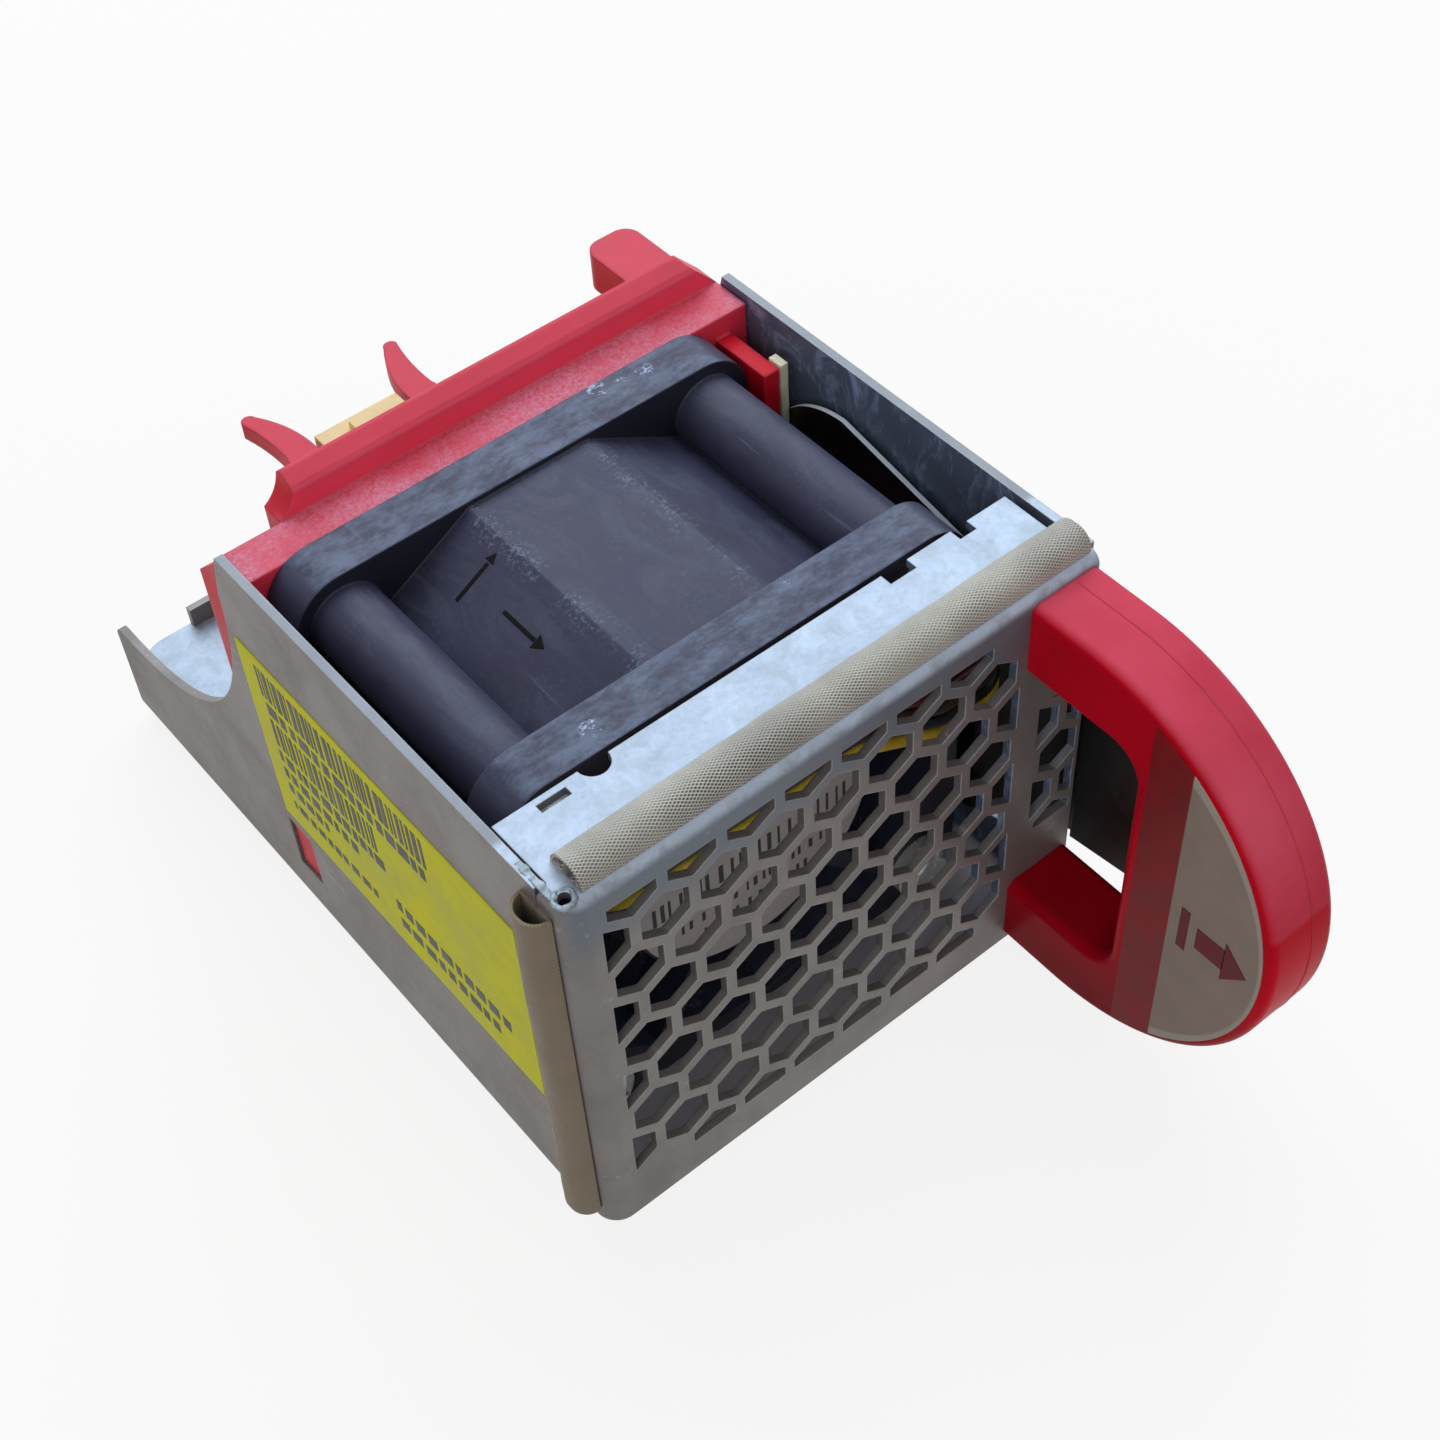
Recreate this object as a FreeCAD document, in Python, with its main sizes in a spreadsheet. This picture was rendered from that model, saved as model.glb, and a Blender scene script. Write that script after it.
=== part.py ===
import FreeCAD, Part
import math
import os
import Sketcher
from FreeCAD import Placement, Rotation, Vector

# Lengths in millimetres, angles in degrees. Every size is one cell of the sheet.
SIZES = {
    # folded sheet
    "sheet_gauge": 0.7,
    "bend_radius": 1.9,
    "tray_width": 45.7,
    "tray_height": 41.0,
    "wall_past_fan": 4.2,
    "wall_lean": 1.2,
    "swoop_radius": 25.2,
    "horn_height": 11.4,
    "horn_flat": 1.0,
    "horn_round": 1.2,
    "tongue_length": 6.1,
    "tongue_inset": 2.4,
    "tongue_round": 3.0,
    "lip_height": 2.8,
    "lip_left": -14.5,
    # front plate
    "plate_right": 22.3,
    "plate_bottom": 2.2,
    "plate_return": 2.6,
    "top_bend": 1.0,
    "flange_gap": 0.55,
    "flange_right": 21.4,
    "slot_left": -19.0,
    "slot_right": -16.7,
    "slot_rear": 1.2,
    "slot_front": 0.5,
    "scoop_at": -14.2,
    "scoop_radius": 1.2,
    "notch_left": 10.0,
    "notch_right": 12.3,
    "relief_left": 16.3,
    "relief_right": 17.8,
    "notch_depth": 1.0,
    "seam_gap": 0.15,
    "lap_play": 0.05,
    "corner_hole": 0.45,
    "corner_hole_at": 1.0,
    "lap_length": 4.6,
    "hex_pitch": 4.745,
    "hex_rib": 0.855,
    "grille_left": -20.15,
    "grille_width": 35.6,
    "grille_top": 38.65,
    "grille_height": 32.87,
    "vent_left": 17.7,
    "vent_right": 21.9,
    "vent_bottom": 14.4,
    "vent_top": 29.0,
    # shielding gaskets
    "gasket_width": 3.2,
    "gasket_height": 1.6,
    "gasket_round": 1.1,
    "gasket_skin": 0.35,
    "gasket_setback": 0.6,
    "gasket_left": -20.8,
    "gasket_right": 22.0,
    "side_gasket_low": 3.6,
    "side_gasket_high": 39.3,
    "side_gasket_setback": 1.2,
    # fan
    "plenum": 8.8,
    "fan_size": 40.0,
    "fan_depth": 28.0,
    "fan_offset": -1.3,
    "fan_lift": 0.1,
    "fan_corner": 4.0,
    "fan_flange": 4.0,
    "fan_hole_pitch": 32.0,
    "fan_hole": 1.7,
    "post_radius": 2.9,
    "barrel_inset": 0.5,
    "bore_radius": 18.9,
    "base_radius": 11.0,
    "base_recess": 0.2,
    "base_thickness": 2.0,
    "strut_width": 1.5,
    "strut_depth": 4.0,
    "strut_phase": 24.0,
    "label_thickness": 0.1,
    "hub_label_radius": 10.8,
    # motor, measured along the shaft from the fan's front
    "seat_fit": 0.02,
    "run_fit": 0.03,
    "shaft_radius": 1.0,
    "shaft_front": 1.7,
    "bearing_radius": 2.5,
    "bearing_width": 2.5,
    "front_bearing_at": 3.4,
    "spring_thickness": 0.4,
    "tube_radius": 3.3,
    "tube_neck": 1.7,
    "rear_bearing_at": 16.0,
    "shoulder_radius": 4.2,
    "board_radius": 9.4,
    "board_at": 3.2,
    "board_thickness": 0.8,
    "core_at": 8.0,
    "core_length": 7.0,
    "core_radius": 7.9,
    "core_rim": 1.0,
    "core_hub": 4.6,
    "pole_width": 2.4,
    "pole_gap": 0.9,
    "coil_build": 1.2,
    "air_gap": 0.4,
    "magnet_wall": 1.2,
    "magnet_at": 6.5,
    "magnet_length": 10.0,
    "yoke_wall": 0.6,
    "yoke_at": 5.6,
    "hub_wall": 1.1,
    "hub_at": 5.0,
    "hub_floor": 24.6,
    "hub_crown": 1.6,
    "hub_round": 1.2,
    "boss_radius": 2.15,
    "boss_at": 19.2,
    "tip_gap": 0.5,
    "blade_at": 6.5,
    "blade_length": 18.5,
    "blade_thickness": 0.9,
    "blade_root_sweep": 6.5,
    "blade_tip_sweep": 11.5,
    "blade_camber": 24.0,
    "clip_radius": 1.9,
    "clip_thickness": 0.3,
    # long fan screws
    "screw_radius": 1.5,
    "screw_head_radius": 2.7,
    "screw_head_height": 1.9,
    "screw_bite": 3.2,
    "screw_play": 0.05,
    "recess_width": 0.7,
    "recess_depth": 0.9,
    # rear bracket
    "side_play": 0.15,
    "ring_depth": 3.6,
    "ledge_drop": 0.7,
    "rail_rise": 2.9,
    "rail_fall": 0.8,
    "rail_depth": 2.2,
    "rail_left": -15.7,
    "rail_foot": -17.2,
    "rail_right": 19.3,
    "rail_sweep": 3.2,
    "rail_round": 0.5,
    "rail_root": 4.0,
    "cheek_depth": 5.2,
    "cheek_wall": 1.8,
    "cheek_drop": 5.3,
    "stop_left": 15.0,
    "stop_right": 19.4,
    "stop_depth": 5.1,
    "stop_height": 3.5,
    "stop_round": 1.4,
    "stop_root": 0.6,
    "stop_drop": 0.25,
    "arm_play": 0.25,
    "arm_length": 5.75,
    "arm_bottom": 33.0,
    "arm_top": 38.5,
    "bar_bottom": 14.5,
    "shelf_top": 18.0,
    "shelf_thickness": 2.0,
    "shelf_depth": 17.0,
    "bar_depth": 3.6,
    "finger_height": 8.0,
    "finger_start": 8.6,
    "finger_play": 0.5,
    "finger_width": 2.7,
    "finger_flare": 1.9,
    "finger_tip": 7.0,
    "finger_point": 0.65,
    "finger_bow": 20.0,
    "prong_depth": 1.6,
    "snap_low": 6.0,
    "snap_height": 5.4,
    "snap_length": 2.8,
    "snap_reach": 0.6,
    "snap_play": 0.25,
    # connector
    "plug_width": 8.0,
    "plug_height": 8.0,
    "plug_start": 10.1,
    "plug_length": 11.0,
    "plug_wall": 1.0,
    "plug_cavity": 5.4,
    "key_width": 2.4,
    "key_height": 0.6,
    "pin_pitch": 1.6,
    "pin_size": 0.5,
    "pin_length": 4.5,
    # leads
    "lead_radius": 0.5,
    "lead_step": 1.35,
    "lead_low": 5.8,
    "lead_seat": 4.0,
    "lead_drop": 1.1,
    "notch_margin": 0.7,
    "lead_lane": 4.3,
    "lead_rise": 4.4,
    "lead_exit": 0.8,
    "lead_fall_at": 5.5,
    "lead_fall_run": 8.0,
    "lead_bend": 2.5,
    "side_lane": 0.75,
    # handle
    "handle_left": 16.0,
    "handle_width": 6.2,
    "handle_rise": 1.0,
    "handle_height": 37.4,
    "handle_reach": 24.0,
    "handle_leg": 6.7,
    "handle_gap": 10.3,
    "handle_edge": 0.7,
    "handle_inner_edge": 0.8,
    "handle_corner": 2.6,
    "panel_inset": 0.8,
    "panel_start": 11.5,
    "handle_screw_inset": 2.4,
    "handle_screw_radius": 1.0,
    "handle_screw_length": 7.0,
    "handle_screw_head": 2.0,
    "handle_screw_cap": 1.4,
    # side label
    "side_label_front": 6.3,
    "side_label_rear": 40.2,
    "side_label_low": 13.0,
    "side_label_high": 32.8,
    # latch
    "lever_gauge": 0.4,
    "lever_wall_gap": 0.5,
    "lever_rear": 32.0,
    "lever_shoulder": 25.0,
    "lever_tip": -8.0,
    "lever_middle": 19.5,
    "lever_half": 17.2,
    "lever_root_half": 13.4,
    "lever_slope": 0.21,
    "lever_round": 9.0,
    "jog_rear": 9.5,
    "jog_front": 2.6,
    "jog_out": 3.4,
    "nose_at": 15.5,
    "nose_length": 3.0,
    "nose_height": 6.0,
    "nose_reach": 1.7,
    "nose_play": 0.6,
    "tab_front": -13.0,
    "tab_rear": 1.2,
    "tab_wall": 0.6,
    "tab_flare": 0.5,
    "tab_round": 3.0,
    "tab_play": 0.03,
    "tab_half": 12.1,
    "tab_slope": 0.11,
    "anchor_gap": 0.1,
    "anchor_gauge": 0.7,
    "anchor_front": 28.8,
    "anchor_low": 9.0,
    "anchor_high": 30.5,
    "upright_top": 38.7,
    "upright_length": 1.4,
    "rivet_at": 30.6,
    "rivet_pitch": 10.0,
    "rivet_radius": 0.6,
    "rivet_head": 1.2,
    "rivet_cap": 0.3,
    "rivet_play": 0.1,
    "way_margin": 0.7,
}

BLADES = 7
STRUTS = 5
POLES = 4
BARREL_SIDES = 12
PINS = 4
LEADS = ("lead_yellow", "lead_black", "lead_brown", "lead_red")
LEFT = 1
RIGHT = -1
BEYOND = 2.0

doc = FreeCAD.newDocument("fan_module")
sheet = doc.addObject("Spreadsheet::Sheet", "Sizes")
nodes = []


class Size:
    """A cell of the sheet, or a sum of cells: its formula and its present number."""

    def __init__(self, formula, number):
        self.formula = formula
        self.number = number

    def __add__(self, other):
        return Size("(%s + %s)" % (self.formula, formula_of(other)), self.number + number_of(other))

    def __radd__(self, other):
        return Size("(%s + %s)" % (formula_of(other), self.formula), number_of(other) + self.number)

    def __sub__(self, other):
        return Size("(%s - %s)" % (self.formula, formula_of(other)), self.number - number_of(other))

    def __rsub__(self, other):
        return Size("(%s - %s)" % (formula_of(other), self.formula), number_of(other) - self.number)

    def __mul__(self, other):
        return Size("(%s * %s)" % (self.formula, formula_of(other)), self.number * number_of(other))

    def __rmul__(self, other):
        return self * other

    def __truediv__(self, other):
        return Size("(%s / %s)" % (self.formula, formula_of(other)), self.number / number_of(other))

    def __neg__(self):
        return Size("(0 - %s)" % self.formula, -self.number)


class Names:
    """Sizes by name."""


def number_of(value):
    return value.number if isinstance(value, Size) else float(value)


def formula_of(value):
    return value.formula if isinstance(value, Size) else "(%.6f)" % value


def fill_sheet():
    for row, (alias, value) in enumerate(SIZES.items(), start=1):
        sheet.set("A%d" % row, alias)
        sheet.set("B%d" % row, str(value))
        sheet.setAlias("B%d" % row, alias)
    doc.recompute()
    names = Names()
    for alias in SIZES:
        setattr(names, alias, Size("Sizes." + alias, float(sheet.get(alias))))
    return names


def lay_out():
    """Places that several pieces share."""
    at = Names()
    at.half = S.tray_width / 2
    at.wall = at.half - S.sheet_gauge
    at.floor = S.sheet_gauge
    at.fan_front = S.plenum
    at.fan_rear = S.plenum + S.fan_depth
    at.fan_x = S.fan_offset
    at.fan_z = at.floor + S.fan_lift + S.fan_size / 2
    at.fan_side = S.fan_offset + S.fan_size / 2
    at.flange_rear = at.fan_front - S.flange_gap
    at.ring_rear = at.fan_rear + S.ring_depth
    at.ledge = S.tray_height - S.ledge_drop
    at.bracket = at.wall - S.side_play
    at.wall_rear = at.fan_rear + S.wall_past_fan
    at.horn_rear = at.wall_rear + S.swoop_radius + S.horn_flat + S.horn_round
    at.floor_rear = at.horn_rear + S.tongue_length
    at.floor_front = S.sheet_gauge + S.seam_gap + 0.3
    at.wall_front = S.plate_return + S.seam_gap
    at.base_front = S.base_recess
    at.base_rear = S.base_recess + S.base_thickness
    at.tube_rear = S.rear_bearing_at + S.bearing_width
    at.magnet_in = S.core_radius + S.air_gap
    at.yoke_in = at.magnet_in + S.magnet_wall + S.seat_fit
    at.hub_in = at.yoke_in + S.yoke_wall + S.seat_fit
    at.hub_out = at.hub_in + S.hub_wall
    at.plug_front = at.ring_rear + S.plug_start
    at.plug_mid = S.shelf_top + S.plug_height / 2
    at.lever_out = at.wall - S.lever_wall_gap
    at.lever_in = at.lever_out - S.lever_gauge
    at.tip_in = at.lever_in + S.jog_out
    at.anchor_out = at.lever_in - S.anchor_gap
    at.anchor_in = at.anchor_out - S.anchor_gauge
    at.screw_x = S.handle_left + S.handle_width / 2
    at.handle_low = S.tray_height / 2 + S.handle_rise - S.handle_height / 2
    return at


def bind(thing, **sizes):
    for prop, value in sizes.items():
        if isinstance(value, Size):
            thing.setExpression(prop, value.formula)
        else:
            setattr(thing, prop, value)
    return thing


def place(thing, x, y, z, turn=Rotation()):
    thing.Placement = Placement(Vector(number_of(x), number_of(y), number_of(z)), turn)
    for axis, value in zip("xyz", (x, y, z)):
        if isinstance(value, Size):
            thing.setExpression("Placement.Base." + axis, value.formula)
    return thing


def block(name, x, y, z):
    """A box between two values on each axis."""
    box = doc.addObject("Part::Box", name)
    bind(box, Length=x[1] - x[0], Width=y[1] - y[0], Height=z[1] - z[0])
    return place(box, x[0], y[0], z[0])


def rod(name, axis, centre, radius, span):
    """A cylinder along an axis; centre is its two other coordinates in order."""
    bar = doc.addObject("Part::Cylinder", name)
    bind(bar, Radius=radius, Height=span[1] - span[0])
    if axis == "X":
        return place(bar, span[0], centre[0], centre[1], Rotation(Vector(0, 1, 0), 90))
    if axis == "Y":
        return place(bar, centre[0], span[0], centre[1], Rotation(Vector(1, 0, 0), -90))
    return place(bar, centre[0], centre[1], span[0])


def fuse(name, parts):
    joined = doc.addObject("Part::MultiFuse", name)
    joined.Shapes = parts
    return joined


def cut(name, base, tools):
    tool = tools[0]
    if len(tools) > 1:
        tool = fuse(name + "_tools", tools)
    result = doc.addObject("Part::Cut", name)
    result.Base = base
    result.Tool = tool
    return result


def overlap(name, first, second):
    result = doc.addObject("Part::Common", name)
    result.Base = first
    result.Tool = second
    return result


def group(name, parts):
    bundle = doc.addObject("Part::Compound", name)
    bundle.Links = parts
    return bundle


def pick(shape, **at):
    """Numbers of the edges that lie at the given coordinates."""
    found = []
    for index, edge in enumerate(shape.Edges, start=1):
        box = edge.BoundBox
        ends = {"x": (box.XMin, box.XMax), "y": (box.YMin, box.YMax), "z": (box.ZMin, box.ZMax)}
        if all(abs(end - number_of(v)) < 1e-3 for key, v in at.items() for end in ends[key]):
            found.append(index)
    return found


def round_edges(name, base, jobs):
    """Rounded edges of a Part object: jobs are (radius, {axis: value}) pairs."""
    doc.recompute()
    edges = []
    for radius, at in jobs:
        picked = pick(base.Shape, **at)
        if not picked:
            raise RuntimeError("no edge to round on " + name)
        edges += [(index, number_of(radius), number_of(radius)) for index in picked]
    result = doc.addObject("Part::Fillet", name)
    result.Base = base
    result.Edges = edges
    return result


def keep(thing, label):
    """Make a finished object a node of the part."""
    thing.Label = label
    nodes.append((label, thing))
    return thing


def new_body(name):
    return doc.addObject("PartDesign::Body", name)


def origin_item(body, role):
    return [item for item in body.Origin.OriginFeatures if item.Role == role][0]


def arc_centre(start, end, radius, side):
    chord = end - start
    middle = (start + end) / 2
    normal = Vector(-chord.y, chord.x, 0) / chord.Length
    return middle + normal * side * math.sqrt(max(0.0, radius ** 2 - chord.Length ** 2 / 4))


def draw(sketch, path):
    """A closed outline. Each entry ends a line (u, v) or an arc (u, v, radius, side)."""
    points = [Vector(number_of(step[0]), number_of(step[1]), 0) for step in path]
    ends = []
    for index, step in enumerate(path):
        start = points[index - 1]
        end = points[index]
        if len(step) == 2:
            item = sketch.addGeometry(Part.LineSegment(start, end), False)
            ends.append((item, 1, 2))
            continue
        radius = number_of(step[2])
        centre = arc_centre(start, end, radius, step[3])
        first, last = (start, end) if step[3] == LEFT else (end, start)
        angles = [math.atan2(p.y - centre.y, p.x - centre.x) for p in (first, last)]
        circle = Part.Circle(centre, Vector(0, 0, 1), radius)
        item = sketch.addGeometry(Part.ArcOfCircle(circle, angles[0], angles[1]), False)
        ends.append((item, 1, 2) if step[3] == LEFT else (item, 2, 1))
    for index, step in enumerate(path):
        item, head, tail = ends[index]
        after = ends[(index + 1) % len(ends)]
        sketch.addConstraint(Sketcher.Constraint("Coincident", item, tail, after[0], after[1]))
        fix(sketch, "DistanceX", (item, tail), step[0])
        fix(sketch, "DistanceY", (item, tail), step[1])
        if len(step) == 4:
            fix(sketch, "Radius", (item,), step[2])


def fix(sketch, kind, where, value):
    index = sketch.addConstraint(Sketcher.Constraint(kind, *where, number_of(value)))
    if isinstance(value, Size):
        sketch.setExpression("Constraints[%d]" % index, value.formula)


def ring(sketch, u, v, radius):
    """A circle in a sketch."""
    circle = Part.Circle(Vector(number_of(u), number_of(v), 0), Vector(0, 0, 1), number_of(radius))
    item = sketch.addGeometry(circle, False)
    fix(sketch, "Radius", (item,), radius)
    fix(sketch, "DistanceX", (item, 3), u)
    fix(sketch, "DistanceY", (item, 3), v)


def new_sketch(body, plane, start, paths=(), circles=()):
    """A sketch on one of the body's own planes, moved off it by start."""
    sketch = body.newObject("Sketcher::SketchObject", body.Name + "_outline")
    sketch.AttachmentSupport = [(origin_item(body, plane + "_Plane"), "")]
    sketch.MapMode = "FlatFace"
    offset = -start if plane == "XZ" else start
    sketch.AttachmentOffset = Placement(Vector(0, 0, number_of(offset)), Rotation())
    if isinstance(offset, Size):
        sketch.setExpression("AttachmentOffset.Base.z", offset.formula)
    for path in paths:
        draw(sketch, path)
    for circle in circles:
        ring(sketch, *circle)
    return sketch


def add_pad(body, plane, span, paths=(), circles=()):
    """Material between two values along +X, +Y or +Z."""
    sketch = new_sketch(body, plane, span[0], paths, circles)
    feature = body.newObject("PartDesign::Pad", body.Name + "_pad")
    feature.Profile = sketch
    feature.Reversed = plane == "XZ"
    bind(feature, Length=span[1] - span[0])
    body.Tip = feature
    doc.recompute()
    return feature


def add_pocket(body, plane, span, paths=(), circles=()):
    """Material taken away between two values along +X, +Y or +Z."""
    before = body.Shape.Volume
    sketch = new_sketch(body, plane, span[0], paths, circles)
    feature = body.newObject("PartDesign::Pocket", body.Name + "_pocket")
    feature.Profile = sketch
    feature.Type = "Length"
    feature.Reversed = plane != "XZ"
    bind(feature, Length=span[1] - span[0])
    body.Tip = feature
    doc.recompute()
    if body.Shape.Volume >= before:
        raise RuntimeError("a pocket took nothing from " + body.Name)
    return feature


def add_pattern(body, feature, count):
    """Copies of a feature about the body's Y axis."""
    pattern = body.newObject("PartDesign::PolarPattern", body.Name + "_pattern")
    pattern.Originals = [feature]
    pattern.Axis = (origin_item(body, "Y_Axis"), [""])
    pattern.Angle = 360
    pattern.Occurrences = count
    body.Tip = pattern
    doc.recompute()
    return pattern


def add_fillet(body, radius, names):
    base = body.Tip
    fillet = body.newObject("PartDesign::Fillet", body.Name + "_round")
    fillet.Base = (base, names)
    bind(fillet, Radius=radius)
    body.Tip = fillet
    doc.recompute()
    return fillet


def padded(name, plane, span, paths=(), circles=()):
    body = new_body(name)
    add_pad(body, plane, span, paths, circles)
    return body


def turned(name, paths):
    """A body turned about its own Y axis; outlines are (radius, place along Y)."""
    body = new_body(name)
    sketch = new_sketch(body, "XY", 0, paths)
    feature = body.newObject("PartDesign::Revolution", name + "_turn")
    feature.Profile = sketch
    feature.ReferenceAxis = (sketch, ["V_Axis"])
    feature.Angle = 360
    body.Tip = feature
    doc.recompute()
    return body


def on_shaft(body):
    """Move a piece drawn about the shaft to the fan's place."""
    return place(body, A.fan_x, A.fan_front, A.fan_z)


def rectangle(u0, u1, v0, v1):
    return [(u1, v0), (u1, v1), (u0, v1), (u0, v0)]


def rounded(u0, u1, v0, v1, r):
    return [
        (u1 - r, v0), (u1, v0 + r, r, LEFT), (u1, v1 - r), (u1 - r, v1, r, LEFT),
        (u0 + r, v1), (u0, v1 - r, r, LEFT), (u0, v0 + r), (u0 + r, v0, r, LEFT),
    ]


def lever_edge(y):
    """Half height of the lever at a place along it."""
    return S.lever_half - (S.lever_shoulder - y) * S.lever_slope


def snap_span():
    front = A.ring_rear - S.snap_length
    return front, A.ring_rear


def tray():
    w = A.half
    g = S.sheet_gauge
    r = S.bend_radius
    top = S.tray_height
    channel = padded("tray_channel", "XZ", (A.floor_front, A.floor_rear), [[
        (-w, top), (-w, r), (r - w, 0, r, LEFT), (w - r, 0), (w, r, r, LEFT), (w, top),
        (w - g, top), (w - g, r), (w - r, g, r - g, RIGHT), (r - w, g), (g - w, r, r - g, RIGHT),
        (g - w, top),
    ]])
    high = top + 5 * BEYOND
    horn = S.horn_height
    swoop = padded("tray_swoop", "YZ", (-w - BEYOND, w + BEYOND), [[
        (A.wall_rear - S.wall_lean, high), (A.wall_rear - S.wall_lean, top),
        (A.wall_rear, horn + S.swoop_radius),
        (A.wall_rear + S.swoop_radius, horn, S.swoop_radius, LEFT),
        (A.horn_rear - S.horn_round, horn), (A.horn_rear, horn - S.horn_round, S.horn_round, RIGHT),
        (A.horn_rear, g), (A.floor_rear + BEYOND, g), (A.floor_rear + BEYOND, high),
    ]])
    tools = [swoop]
    edge = w - S.tongue_inset
    turn = S.tongue_round
    for side, name in ((1, "right"), (-1, "left")):
        bend = LEFT if side > 0 else RIGHT
        tools.append(padded("tray_tongue_" + name, "XY", (-BEYOND, r + BEYOND), [[
            (edge * side, A.horn_rear), (edge * side, A.floor_rear - turn),
            ((edge - turn) * side, A.floor_rear, turn, bend),
            ((edge - turn) * side, A.floor_rear + BEYOND), ((w + BEYOND) * side, A.floor_rear + BEYOND),
            ((w + BEYOND) * side, A.horn_rear),
        ]]))
    tools.append(block("tray_front_trim", (-w - BEYOND, r - w), (-BEYOND, A.wall_front),
                       (-BEYOND, top + BEYOND)))
    mid = S.lever_middle
    way_rear = S.jog_rear + 0.3
    near = lever_edge(-BEYOND) + S.way_margin
    far = lever_edge(way_rear) + S.way_margin
    tools.append(padded("tray_lever_way", "YZ", (A.wall - 0.2, w + BEYOND), [[
        (-BEYOND, mid - near), (way_rear, mid - far), (way_rear, mid + far), (-BEYOND, mid + near),
    ]]))
    tools.append(block("tray_nose_window", (A.wall - 0.2, w + BEYOND),
                       (S.nose_at - S.nose_play, S.nose_at + S.nose_length + S.nose_play),
                       (S.lever_middle - S.nose_height / 2 - S.nose_play,
                        S.lever_middle + S.nose_height / 2 + S.nose_play)))
    front, rear = snap_span()
    tools.append(block("tray_snap_slots", (-w - BEYOND, w + BEYOND),
                       (front - S.snap_play, rear + S.snap_play),
                       (S.snap_low - S.snap_play, S.snap_low + S.snap_height + S.snap_play)))
    body = cut("tray_cut", channel, tools)
    lip = block("tray_lip", (S.lip_left, edge - turn), (A.floor_rear - g, A.floor_rear), (0, S.lip_height))
    whole = fuse("tray_whole", [body, lip])
    keep(round_edges("tray_rounded", whole, [(g / 2, {"y": A.floor_rear, "z": 0})]), "tray")


def hexagons(name, x, z, skip_corners):
    """A honeycomb field clipped to a rectangle, on the grille's own lattice."""
    pitch = number_of(S.hex_pitch)
    rise = pitch * math.sqrt(3) / 2
    across = S.hex_pitch - S.hex_rib
    turn = Rotation(Vector(1, 0, 0), -90) * Rotation(Vector(0, 0, 1), 30)
    low, high = number_of(z[0]), number_of(z[1])
    left, right = number_of(x[0]), number_of(x[1])
    home = number_of(S.grille_left)
    top = number_of(S.grille_top)
    rows = range(int((top - high) / rise), int((top - low) / rise + 0.5) + 1)
    cells = []
    for row in rows:
        shift = 0.5 if row % 2 == 0 else 0.0
        centres = [(k, home + (k + shift) * pitch) for k in range(0, 40)]
        places = [k for k, x_mid in centres if left - pitch / 2 < x_mid < right + pitch / 2]
        for k in places:
            first_or_last = row in (rows[0], rows[-1])
            if skip_corners and first_or_last and (k == places[-1] or (k == places[0] and row == rows[-1])):
                continue
            cell = doc.addObject("Part::Prism", name + "_cell")
            bind(cell, Circumradius=across / math.sqrt(3), Height=S.sheet_gauge + 2 * BEYOND)
            cell.Polygon = 6
            cells.append(place(cell, S.grille_left + S.hex_pitch * (k + shift), -BEYOND,
                               S.grille_top - S.hex_pitch * (row * math.sqrt(3) / 2), turn))
    field = block(name + "_field", x, (-BEYOND, S.sheet_gauge + BEYOND), z)
    return overlap(name, group(name + "_cells", cells), field)


def bent_block(name, x, y, z, corner, brow):
    """A box with its front left corner rounded, then its top front edge."""
    box = block(name + "_box", x, y, z)
    cornered = round_edges(name + "_cornered", box, [(corner, {"x": x[0], "y": y[0]})])
    return round_edges(name, cornered, [(brow, {"y": y[0], "z": z[1]})])


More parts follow.
